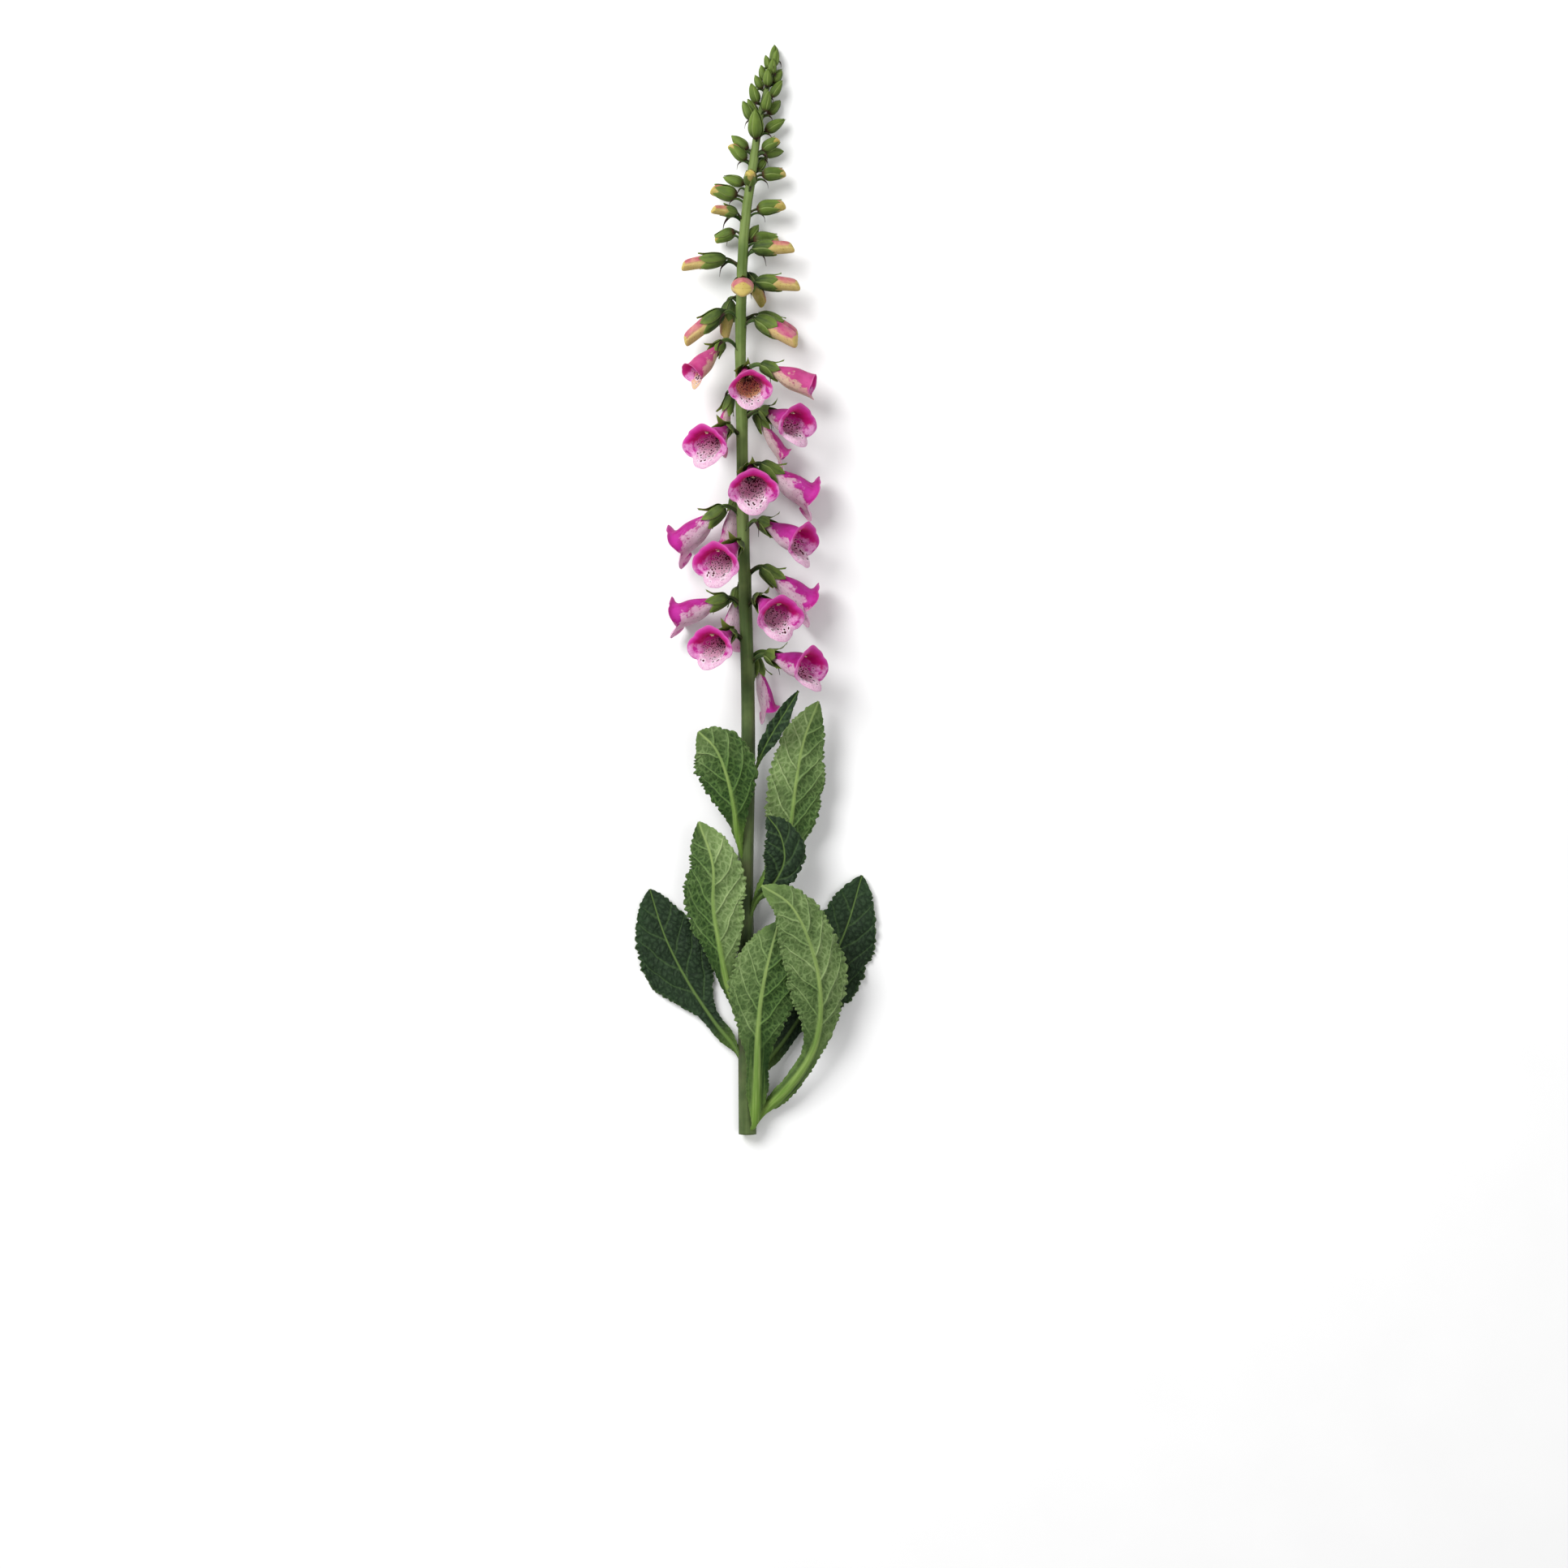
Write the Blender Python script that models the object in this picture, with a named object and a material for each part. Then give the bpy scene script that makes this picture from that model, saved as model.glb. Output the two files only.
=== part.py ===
"""A cut foxglove stem, lying as it was picked: bells, buds and stem leaves around one stem.

Axes: +Y runs from the cut end to the tip, +X to the right and +Z up from the table at z = 0.
Every grown piece is its own object: the stem with its green tip buds, each bell, the calyx and
stalk that carries it, each coloured bud and each leaf. Lengths are in millimetres until an
object is made.
"""

import math

import bmesh
import bpy
import numpy as np

MM = 0.001
UP_STEM = np.array([0.0, 1.0, 0.0])

# Stem centre line from the cut end to the tip: x, y, height above the table, radius.
STEM_POINTS = (
    (-2.3, -380.0, 6.4, 6.4),
    (-3.0, -290.0, 10.5, 6.1),
    (-3.8, -200.0, 16.5, 5.6),
    (-1.9, -100.0, 22.5, 5.0),
    (-3.2, -20.0, 24.5, 4.6),
    (-5.4, 45.0, 25.0, 4.3),
    (-6.2, 115.0, 24.5, 4.0),
    (-7.2, 190.0, 22.5, 3.7),
    (-5.0, 262.0, 18.5, 3.4),
    (1.5, 315.0, 14.5, 2.9),
    (6.5, 350.0, 11.5, 2.2),
    (12.8, 377.0, 8.5, 1.5),
    (17.6, 396.0, 6.5, 0.9),
)
STEM_SIDES = 10
STEM_STATIONS = 44

# An open bell of size 1.
BELL_LENGTH = 44.0
BELL_BASE_RADIUS = 2.8
BELL_BELLY_RADIUS = 6.6  # what the swelling tube adds to the base radius
BELL_FLATNESS = 0.18  # how much less tall than wide the tube is
SIDE_FLARE = 6.2  # what the turned-out lips add at the mouth
UPPER_FLARE = 5.2
LOWER_FLARE = 3.6
BELL_WALL = 0.9
BELL_SEAT = 0.7  # how far the corolla starts above the calyx base
LOWER_LIP = 0.24  # lengths of the lips, as shares of the bell
SIDE_LIP = 0.04
UPPER_LIP = 0.05

CUP_FOOT = 1.0  # how far the cup's bottom lies below the flower's base
CALYX_CUP = 5.6
SEPAL_LENGTH = 7.0
SEPAL_FLARE = 3.0
SEPAL_WALL = 0.8
STALK_RADIUS = 1.2
STALK_ARCH = 5.0  # how much further up a hanging flower's stalk starts
STALK_CLEARANCE = 1.0  # from the stem's surface to the middle of a stalk's end

# Open bells: how far up the stem the calyx sits, the side of the stem it grows from (0 is
# right, 90 is away from the table), its distance from the centre line, the side the mouth
# faces, its droop towards the cut end, its size, how far the lips have opened, and how
# flat the table and the stem press it.
BELLS = {
    "01": (-36, 12, 15, 40, 15, 1.00, 1.0, 1.0),
    "02": (-20, 140, 13, 113, 18, 0.96, 1.0, 1.0),
    "03": (4, 48, 13, 65, 22, 1.00, 1.0, 1.0),
    "04": (5, 185, 13, 193, 20, 0.94, 0.9, 1.0),
    "05": (26, 2, 13, -14.5, 36, 1.00, 1.0, 1.0),
    "06": (43, 104, 12, 114, 24, 1.00, 1.0, 1.0),
    "07": (59, 30, 14, 34, 25, 0.98, 1.0, 1.0),
    "08": (69, 172, 14, 197.5, 38, 1.00, 1.0, 1.0),
    "09": (97, 64, 13, 86, 28, 1.00, 1.0, 1.0),
    "10": (100, 4, 14, -14, 33, 1.00, 1.0, 1.0),
    "11": (126, 136, 13, 116, 24, 0.96, 1.0, 1.0),
    "12": (138, 16, 16, 50, 19, 0.95, 1.0, 1.0),
    "13": (167, 78, 12, 82, 27, 0.94, 1.0, 1.0),
    "14": (171, 8, 15, 8, 23, 0.90, 0.15, 1.0),
    "15": (187, 168, 13, 150, 44, 0.80, 0.45, 1.0),
    "16": (-38, -50, 10, -13, 76, 0.92, 0.8, 0.62),
    "17": (12, -122, 9, -125, 80, 0.88, 0.8, 0.62),
    "18": (137, -40, 13, -5, 56, 0.86, 0.8, 0.60),
    "19": (80, -118, 9, -135, 80, 0.88, 0.8, 0.62),
    "20": (150, -140, 10, -165, 76, 0.86, 0.8, 0.62),
}

# Coloured buds that have not opened: the same first five columns, then the bud's length.
BUDS = {
    "01": (204, 20, 12, 16, 28, 35),
    "02": (208, -24, 14, -14, 24, 32),
    "03": (210, 178, 13, 184, 36, 35),
    "04": (218, -140, 10, -140, 74, 26),
    "05": (228, 88, 9, 88, 12, 28),
    "06": (231, 8, 11, 10, 4, 31),
    "07": (238, -62, 9, -32, 56, 25),
    "08": (248, 176, 13, 180, 8, 31),
    "09": (255, 12, 8, 14, -2, 29),
    "10": (281, 160, 8, 152, -5, 19),
}

# Green buds, which are one piece with the stem: the same columns again.
GREEN_BUDS = (
    (262, -30, 8, -26, -4, 22),
    (268, -160, 8, 206, 18, 18),
    (262, -60, 5, -35, -50, 15),
    (284, 2, 8, 8, -8, 21),
    (294, 180, 9, 182, -14, 20),
    (302, 88, 6, 90, -20, 17),
    (309, 0, 8, -4, -6, 18),
    (303, -150, 6, 190, -20, 15),
    (313, -50, 6, -28, -58, 12),
    (320, 176, 6, 172, -43, 17),
    (328, -170, 6, 190, -40, 15),
    (327, 12, 6, 15, -33, 15),
    (325, -22, 7, -20, -8, 15),
    (335, 92, 5, 95, -66, 20),
    (341, -8, 6, -8, -33, 16),
    (349, 172, 6, 182, -66, 14),
    (353, -150, 4, 205, -62, 13),
    (355, 60, 5, 60, -66, 14),
    (354, -25, 6, -22, -48, 13),
    (361, 150, 5, 152, -70, 14),
    (366, 10, 5, 10, -56, 13),
    (372, -170, 4, 188, -64, 11),
    (373, 88, 4, 85, -72, 12),
    (376, -10, 4, -2, -56, 10),
    (378, 178, 3, 180, -74, 11),
    (382, 70, 3, 70, -74, 11),
    (380, -40, 4, -20, -50, 9),
    (386, 160, 2, 165, -76, 10),
    (388, 60, 2, 40, -76, 11),
    (391, -60, 1, -80, -84, 13),
)

# Leaves: midrib points from the base to the tip (x, y, z), the side that the blade turns to,
# the blade's full width, where along the midrib it is widest, and how far its edges droop.
LEAVES = {
    "front_left": (
        ((-9.5, -166, 27), (-12, -145, 35), (-17, -122, 41), (-25, -103, 44), (-37, -91, 45)),
        (-0.15, 0.0, 1.0), 43, 0.62, 3.0,
    ),
    "right": (
        ((5.5, -205, 20), (20, -181, 21), (28, -160, 24), (32, -130, 28), (38, -97, 28),
         (48.5, -69, 21)),
        (0.2, 0.0, 1.0), 41, 0.52, -3.0,
    ),
    "bract": (
        ((4.6, -114, 27), (12, -98, 35), (24, -78, 41), (34, -62, 41)),
        (0.1, 0.0, 1.0), 12, 0.45, 1.0,
    ),
    "right_fold": (
        ((4.0, -211, 23.5), (17, -198, 32), (24, -182, 37), (21, -164, 38), (12, -151, 37)),
        (0.1, 0.0, 1.0), 29, 0.55, 3.0,
    ),
    "left": (
        ((-10.5, -289, 16), (-17, -270, 22), (-22, -245, 28), (-26.7, -215, 33),
         (-27, -185, 36), (-37, -155, 34)),
        (-0.2, 0.0, 1.0), 44, 0.58, 3.0,
    ),
    "front_centre": (
        ((3.0, -369, 15.5), (4.5, -335, 22), (6, -294, 30), (11, -261, 36), (20, -226, 38)),
        (-0.1, 0.0, 1.0), 50, 0.66, 4.0,
    ),
    "front_right": (
        ((7.0, -366, 8.5), (28, -345, 16), (45, -318, 25), (50, -286, 35), (45, -250, 44),
         (30, -216, 50), (8, -200, 51)),
        (0.2, 0.0, 1.0), 44, 0.60, 4.0,
    ),
    "flat_left": (
        ((-11.3, -318, 8), (-26, -300, 5.3), (-46, -270, 2.8), (-62, -238, 2.8), (-73, -204, 3.6)),
        (0.0, 0.0, 1.0), 50, 0.55, 2.2,
    ),
    "flat_right": (
        ((6.2, -336, 7), (26, -310, 5), (50, -272, 2.8), (68, -234, 2.8), (80, -194, 3.6)),
        (0.0, 0.0, 1.0), 52, 0.55, 2.2,
    ),
}
LEAF_THICKNESS = 1.3
LEAF_STALK_WIDTH = 7.0
LEAF_TIP_WIDTH = 1.6
LEAF_TIP_POWER = 0.75  # under 1 rounds the blade, over 1 draws it out
LEAF_STATIONS = 12

COLOURS = {
    "stem_green": (0.10, 0.21, 0.06),
    "calyx_green": (0.10, 0.19, 0.05),
    "bell_magenta": (0.52, 0.05, 0.32),
    "bud_pink": (0.58, 0.20, 0.22),
    "leaf_upper_green": (0.05, 0.11, 0.05),
    "leaf_under_green": (0.14, 0.24, 0.10),
}
ROUGHNESS = 0.55
DARK_LEAVES = ("bract", "right_fold", "flat_left", "flat_right")


def clear_scene():
    for obj in list(bpy.data.objects):
        bpy.data.objects.remove(obj, do_unlink=True)


def material(name):
    made = bpy.data.materials.get(name)
    if made is None:
        made = bpy.data.materials.new(name)
        made.use_nodes = True
        shader = made.node_tree.nodes["Principled BSDF"]
        shader.inputs["Base Color"].default_value = (*COLOURS[name], 1.0)
        shader.inputs["Roughness"].default_value = ROUGHNESS
        made.diffuse_color = (*COLOURS[name], 1.0)
    return made


def unit(vector):
    return vector / np.linalg.norm(vector)


def smoothstep(x):
    x = np.clip(x, 0.0, 1.0)
    return x * x * (3.0 - 2.0 * x)


def smooth_path(points, count):
    """A Catmull-Rom curve through the points, read at evenly spaced values of its parameter."""
    p = np.array(points, float)
    p = np.vstack([2 * p[0] - p[1], p, 2 * p[-1] - p[-2]])
    t = np.linspace(0.0, len(points) - 1.0, count)
    i = np.minimum(t.astype(int), len(points) - 2)
    f = (t - i)[:, None]
    a, b, c, d = p[i], p[i + 1], p[i + 2], p[i + 3]
    return 0.5 * (
        2 * b + (c - a) * f + (2 * a - 5 * b + 4 * c - d) * f**2 + (3 * b - a - 3 * c + d) * f**3
    )


STEM_FINE = smooth_path(STEM_POINTS, 400)


def stem_at(y):
    """The stem's centre and its radius, that far up."""
    values = [np.interp(y, STEM_FINE[:, 1], STEM_FINE[:, k]) for k in range(4)]
    return np.array(values[:3]), values[3]


def outward(side_deg):
    """The direction away from the stem, on that side of it."""
    a = math.radians(side_deg)
    return np.array([math.cos(a), 0.0, math.sin(a)])


def flower_frame(turn_deg, droop_deg):
    """Columns: across, towards the flower's upper side, and along it towards the mouth."""
    out = outward(turn_deg)
    droop = math.radians(droop_deg)
    along = math.cos(droop) * out - math.sin(droop) * UP_STEM
    upper = math.cos(droop) * UP_STEM + math.sin(droop) * out
    return np.column_stack([np.cross(upper, along), upper, along])


def ring(angles, radius, height):
    """Points around the flower's axis; angle 0 is its upper side."""
    radius, height = np.broadcast_arrays(radius, height, angles)[:2]
    return np.column_stack([radius * np.sin(angles), radius * np.cos(angles), height])


def placed(rings, frame, origin):
    return [points @ frame.T + origin for points in rings]


def stalk_rings(start, end, frame, leave, radius, angles, count):
    """Rings along an arching stalk, turned so that they meet the flower's own rings."""
    reach = np.linalg.norm(end - start)
    t = np.linspace(0.0, 1.0, count + 1)[:-1, None]
    c1 = start + leave * reach * 0.45
    c2 = end - frame[:, 2] * reach * 0.35
    path = (
        (1 - t) ** 3 * start + 3 * (1 - t) ** 2 * t * c1 + 3 * (1 - t) * t**2 * c2 + t**3 * end
    )
    ends = np.vstack([path, end])
    upper = frame[:, 1]
    rings = []
    for k in range(count - 1, -1, -1):
        tangent = unit(ends[k + 1] - ends[k])
        upper = unit(upper - tangent * (upper @ tangent))
        across = np.cross(upper, tangent)
        turn = np.outer(np.sin(angles), across) + np.outer(np.cos(angles), upper)
        rings.insert(0, path[k] + radius * turn)
    return rings


def loft(name, rings, kind, rim=None):
    """One closed body: faces between each ring and the next, and a face over each end.

    Where a thin wall turns back inside itself, rim is the last ring of its outer side. Past
    it the faces' diagonals are mirrored, so that both sides of the wall crease alike.
    """
    mesh = bpy.data.meshes.new(name)
    bm = bmesh.new()
    loops = [[bm.verts.new(point * MM) for point in points] for points in rings]
    sides = len(loops[0])
    for i, (low, high) in enumerate(zip(loops, loops[1:])):
        for k in range(sides):
            n = (k + 1) % sides
            if rim is None:
                bm.faces.new((low[k], low[n], high[n], high[k]))
            elif i < rim:
                bm.faces.new((low[k], low[n], high[n]))
                bm.faces.new((low[k], high[n], high[k]))
            else:
                bm.faces.new((low[k], low[n], high[k]))
                bm.faces.new((low[n], high[n], high[k]))
    bm.faces.new(loops[0][::-1])
    bm.faces.new(loops[-1])
    bmesh.ops.recalc_face_normals(bm, faces=bm.faces)
    bm.to_mesh(mesh)
    bm.free()
    mesh.shade_smooth()
    mesh.materials.append(material(kind))
    obj = bpy.data.objects.new(name, mesh)
    bpy.context.scene.collection.objects.link(obj)
    return obj


def around(sides):
    return np.arange(sides) * 2 * math.pi / sides


def flower_start(row, lower):
    """Where the stalk leaves the stem, where the flower begins, its frame and the way out.

    A stalk starts below a flower that stands out and above one that hangs along the stem.
    """
    height, side, out, turn, droop = row[:5]
    lean = math.radians(droop)
    drop = lower * math.cos(lean) - max(0.0, STALK_ARCH * math.sin(lean) ** 3)
    centre, radius = stem_at(height - drop)
    start = centre + outward(side) * (radius + STALK_CLEARANCE)
    base = stem_at(height)[0] + outward(side) * out
    leave = unit(outward(side) + 0.6 * math.cos(lean) * UP_STEM)
    return start, base, flower_frame(turn, droop), leave


def bell_radius(v, angles, opened):
    """The bell's half width at a share v of its length: a narrow base, a swelling tube that is
    wider than tall, and lips that turn out most at the sides."""
    swelling = BELL_BELLY_RADIUS * smoothstep((v - 0.08) / 0.62)
    tube = (BELL_BASE_RADIUS + swelling + 1.4 * v) * (1 - BELL_FLATNESS * v * np.cos(angles) ** 2)
    lip = np.where(np.cos(angles) > 0, UPPER_FLARE, LOWER_FLARE)
    reach = lip + (SIDE_FLARE - lip) * np.sin(angles) ** 2
    return tube + reach * opened * np.clip((v - 0.72) / 0.28, 0.0, 1.0) ** 3


def bell_height(v, angles, opened):
    """Distance along the bell: the lower lip reaches out and the upper lip stays short."""
    from_bottom = np.abs(angles - math.pi)
    lower = LOWER_LIP * np.exp(-((from_bottom / 0.75) ** 2))
    sides = SIDE_LIP * np.exp(-(((from_bottom - 1.6) / 0.4) ** 2))
    upper = UPPER_LIP * np.exp(-(((from_bottom - math.pi) / 0.6) ** 2))
    lips = (lower + sides - upper) * (0.4 + 0.6 * opened)
    end = np.clip((v - 0.84) / 0.16, 0.0, 1.0)
    return v - 0.08 * opened * end**2 + lips * smoothstep((v - 0.55) / 0.45)


def bell(name, row):
    size, opened, pressed = row[5:]
    _, base, frame, _ = flower_start(row, 0)
    angles = around(12)
    rings = []
    for v in (0.0, 0.13, 0.3, 0.48, 0.68, 0.86, 1.0):
        height = BELL_SEAT + BELL_LENGTH * bell_height(v, angles, opened)
        rings.append(ring(angles, bell_radius(v, angles, opened), height))
    rim = len(rings) - 1
    for v in (1.0, 0.85, 0.64, 0.4, 0.17):
        height = BELL_SEAT + BELL_LENGTH * bell_height(v, angles, opened)
        rings.append(ring(angles, bell_radius(v, angles, opened) - BELL_WALL, height + 0.3))
    flatten = np.array([1.0, pressed, 1.0])
    rings = [points * size * flatten for points in rings]
    return loft(name, placed(rings, frame, base), "bell_magenta", rim)


def calyx(name, row):
    """A thin stalk that opens into a cup of five pointed sepals around the bell's base."""
    size, _, pressed = row[5:]
    start, base, frame, leave = flower_start(row, 5)
    angles = around(10)
    lobe = 0.5 + 0.5 * np.cos(5 * angles)
    rim_height = CALYX_CUP + 1.2 + SEPAL_LENGTH * lobe
    rim_radius = 5.8 + SEPAL_FLARE * lobe
    cup = (
        (2.3, -CUP_FOOT),
        (4.2, -0.1),
        (4.8, 2.0),
        (rim_radius, rim_height),
        (rim_radius - SEPAL_WALL, rim_height - 0.2),
        (3.9, 2.6),
        (3.3, 0.35),
    )
    flatten = np.array([1.0, (1 + pressed) / 2, 1.0])
    rings = [ring(angles, radius, height) * size * flatten for radius, height in cup]
    foot = base - frame[:, 2] * CUP_FOOT * size
    stalk = stalk_rings(start, foot, frame, leave, STALK_RADIUS, angles, 3)
    rim = len(stalk) + 3
    return loft(name, stalk + placed(rings, frame, base), "calyx_green", rim)


def bud(name, row):
    """A closed bud, blunt where its lips still fold over each other, in its calyx."""
    length = row[5]
    start, base, frame, leave = flower_start(row, 5)
    angles = around(8)
    outline = (
        (2.4, 0.0),
        (5.0, 0.10),
        (6.6, 0.30),
        (6.9, 0.55),
        (7.2, 0.78),
        (5.6, 0.95),
        (2.4, 1.0),
    )
    girth = 0.45 + 0.55 * length / 31
    rings = [ring(angles, radius * girth, share * length) for radius, share in outline]
    stalk = stalk_rings(start, base, frame, leave, STALK_RADIUS, angles, 3)
    return loft(name, stalk + placed(rings, frame, base), "bud_pink")


def green_bud(name, row):
    """A pointed green bud whose stalk starts inside the stem, so that the two join."""
    length = row[5]
    start, base, frame, leave = flower_start(row, 3)
    start = stem_at(row[0] - 3)[0]
    angles = around(6)
    outline = ((0.10, 0.0), (0.27, 0.25), (0.30, 0.55), (0.14, 0.88), (0.03, 1.0))
    rings = [ring(angles, radius * length, share * length) for radius, share in outline]
    stalk = stalk_rings(start, base, frame, leave, 0.9, angles, 2)
    obj = loft(name, stalk + placed(rings, frame, base), "stem_green")
    obj.hide_render = True
    obj.display_type = "WIRE"
    return obj


def stem():
    """The tapering stem, joined with the green buds near its tip."""
    path = smooth_path(STEM_POINTS, STEM_STATIONS)
    angles = around(STEM_SIDES)
    centre = path[:, :3]
    tangents = np.gradient(centre, axis=0)
    rings = []
    for point, tangent, radius in zip(centre, tangents, path[:, 3]):
        tangent = unit(tangent)
        across = unit(np.cross(tangent, [0.0, 0.0, 1.0]))
        upper = np.cross(across, tangent)
        turn = np.outer(np.cos(angles), across) + np.outer(np.sin(angles), upper)
        rings.append(point + radius * turn)
    body = loft("stem", rings, "stem_green")
    joined = bpy.data.collections.new("green_buds")
    bpy.context.scene.collection.children.link(joined)
    for k, row in enumerate(GREEN_BUDS, 1):
        obj = green_bud(f"green_bud_{k:02d}", row)
        bpy.context.scene.collection.objects.unlink(obj)
        joined.objects.link(obj)
    join = body.modifiers.new("join_green_buds", "BOOLEAN")
    join.operation = "UNION"
    join.operand_type = "COLLECTION"
    join.collection = joined
    join.solver = "EXACT"
    return body


def leaf_rings(midrib, face, width, widest, droop):
    """Cross sections of a blade: thin, with a stalk-like base, a rounded tip and bent edges."""
    path = smooth_path(midrib, LEAF_STATIONS)
    tangents = np.gradient(path, axis=0)
    share = np.linspace(0.0, 1.0, LEAF_STATIONS)
    rise = smoothstep(share / widest)
    fall = np.clip(1 - ((share - widest) / (1 - widest)) ** 2, 0.0, 1.0) ** LEAF_TIP_POWER
    stalk = LEAF_STALK_WIDTH / 2
    blade = np.where(share < widest, stalk + (width / 2 - stalk) * rise, width / 2 * fall)
    half = np.maximum(blade, LEAF_TIP_WIDTH / 2)
    rings = []
    for point, tangent, reach in zip(path, tangents, half):
        tangent = unit(tangent)
        normal = unit(np.array(face) - tangent * (np.array(face) @ tangent))
        across = np.cross(tangent, normal)
        bend = droop * min(1.0, 2 * reach / width)
        section = [
            (-1.0, -bend, 0.25),
            (-0.5, -bend * 0.25, 0.5),
            (0.0, 0.0, 0.6),
            (0.5, -bend * 0.25, 0.5),
            (1.0, -bend, 0.25),
        ]
        top = [(x, z + t * LEAF_THICKNESS) for x, z, t in section]
        under = [(x, z - t * LEAF_THICKNESS) for x, z, t in section[::-1]]
        rings.append(
            np.array([point + x * reach * across + z * normal for x, z in top + under])
        )
    return rings


def leaf(name, row):
    kind = "leaf_upper_green" if name in DARK_LEAVES else "leaf_under_green"
    return loft(f"leaf_{name}", leaf_rings(*row), kind)


def centre_on_origin():
    """Hangs every object on one empty, which brings the middle of the box over the origin."""
    corners = []
    for obj in bpy.data.objects:
        points = np.empty(len(obj.data.vertices) * 3)
        obj.data.vertices.foreach_get("co", points)
        corners.append(points.reshape(-1, 3))
    corners = np.vstack(corners)
    low, high = corners.min(axis=0), corners.max(axis=0)
    carrier = bpy.data.objects.new("foxglove", None)
    bpy.context.scene.collection.objects.link(carrier)
    carrier.location = (-(low[0] + high[0]) / 2, -(low[1] + high[1]) / 2, -low[2])
    for obj in list(bpy.data.objects):
        if obj is not carrier:
            obj.parent = carrier


def main():
    clear_scene()
    stem()
    for name, row in BELLS.items():
        bell(f"bell_{name}", row)
        calyx(f"calyx_{name}", row)
    for name, row in BUDS.items():
        bud(f"bud_{name}", row)
    for name, row in LEAVES.items():
        leaf(name, row)
    centre_on_origin()


main()
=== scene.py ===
"""The looks of a cut foxglove stem that lies on a pale table.

Shapes are worked out in millimetres, in the plant's own axes: +Y up the stem, +X to the right
and +Z up from the table. One shift, read from the frame, brings them to where the CAD lies.
Every surface of the plant is a grid of points given by a formula of two parameters.
"""

import math

import bpy
import numpy as np
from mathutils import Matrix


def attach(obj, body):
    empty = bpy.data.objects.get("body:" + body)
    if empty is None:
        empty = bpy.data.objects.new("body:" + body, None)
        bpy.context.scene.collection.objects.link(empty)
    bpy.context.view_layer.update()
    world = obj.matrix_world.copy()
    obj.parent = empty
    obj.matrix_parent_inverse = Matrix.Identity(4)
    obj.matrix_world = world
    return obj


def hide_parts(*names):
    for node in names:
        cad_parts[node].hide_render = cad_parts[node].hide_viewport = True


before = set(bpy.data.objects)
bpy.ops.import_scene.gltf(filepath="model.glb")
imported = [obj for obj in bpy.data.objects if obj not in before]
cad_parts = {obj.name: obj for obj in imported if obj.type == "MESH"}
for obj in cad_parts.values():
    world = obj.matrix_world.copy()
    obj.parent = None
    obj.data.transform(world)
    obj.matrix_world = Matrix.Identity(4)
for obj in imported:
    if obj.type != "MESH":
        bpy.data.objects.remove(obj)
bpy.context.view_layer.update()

MM = 0.001
RIGHTWARD = np.array([1.0, 0.0, 0.0])
UP_STEM = np.array([0.0, 1.0, 0.0])
SKYWARD = np.array([0.0, 0.0, 1.0])

# The plant's own measures, the same as the solids are built from.

# Stem centre line from the cut end to the tip: x, y, height above the table, radius.
STEM_POINTS = (
    (-2.3, -380.0, 6.4, 6.4),
    (-3.0, -290.0, 10.5, 6.1),
    (-3.8, -200.0, 16.5, 5.6),
    (-1.9, -100.0, 22.5, 5.0),
    (-3.2, -20.0, 24.5, 4.6),
    (-5.4, 45.0, 25.0, 4.3),
    (-6.2, 115.0, 24.5, 4.0),
    (-7.2, 190.0, 22.5, 3.7),
    (-5.0, 262.0, 18.5, 3.4),
    (1.5, 315.0, 14.5, 2.9),
    (6.5, 350.0, 11.5, 2.2),
    (12.8, 377.0, 8.5, 1.5),
    (17.6, 396.0, 6.5, 0.9),
)

# An open bell of size 1.
BELL_LENGTH = 44.0
BELL_BASE_RADIUS = 2.8
BELL_BELLY_RADIUS = 6.6
BELL_FLATNESS = 0.18
SIDE_FLARE = 6.2
UPPER_FLARE = 5.2
LOWER_FLARE = 3.6
BELL_SEAT = 0.7
LOWER_LIP = 0.24
SIDE_LIP = 0.04
UPPER_LIP = 0.05

PETAL_WALL = 0.55  # at a bell's base
PETAL_THINS = 0.25  # by how much it is thinner at the lips

STALK_RADIUS = 0.85
STALK_ARCH = 5.0  # how far a hanging flower's stalk starts above the flower
STALK_RISE = 0.6  # how far a stalk sets out up the stem, for each step away from it
STALK_ROOT = 1.6  # how deep it starts in the stem
FOOT_DROP = 5.5  # how far below a flower's base its foot swells the stem
FOOT_SWELL = 0.13  # by what share of the stem's radius
SEPAL_RISE = 15.5  # how far up a bell its sepals reach
SEPAL_WALL = 0.5
BRACT_WALL = 0.45
THREAD_RADIUS = 0.36  # of the stamens and the style
OPEN_FRONT = ("01", "02", "03", "06", "07", "09", "11", "12", "13", "15")  # stamens in sight

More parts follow.
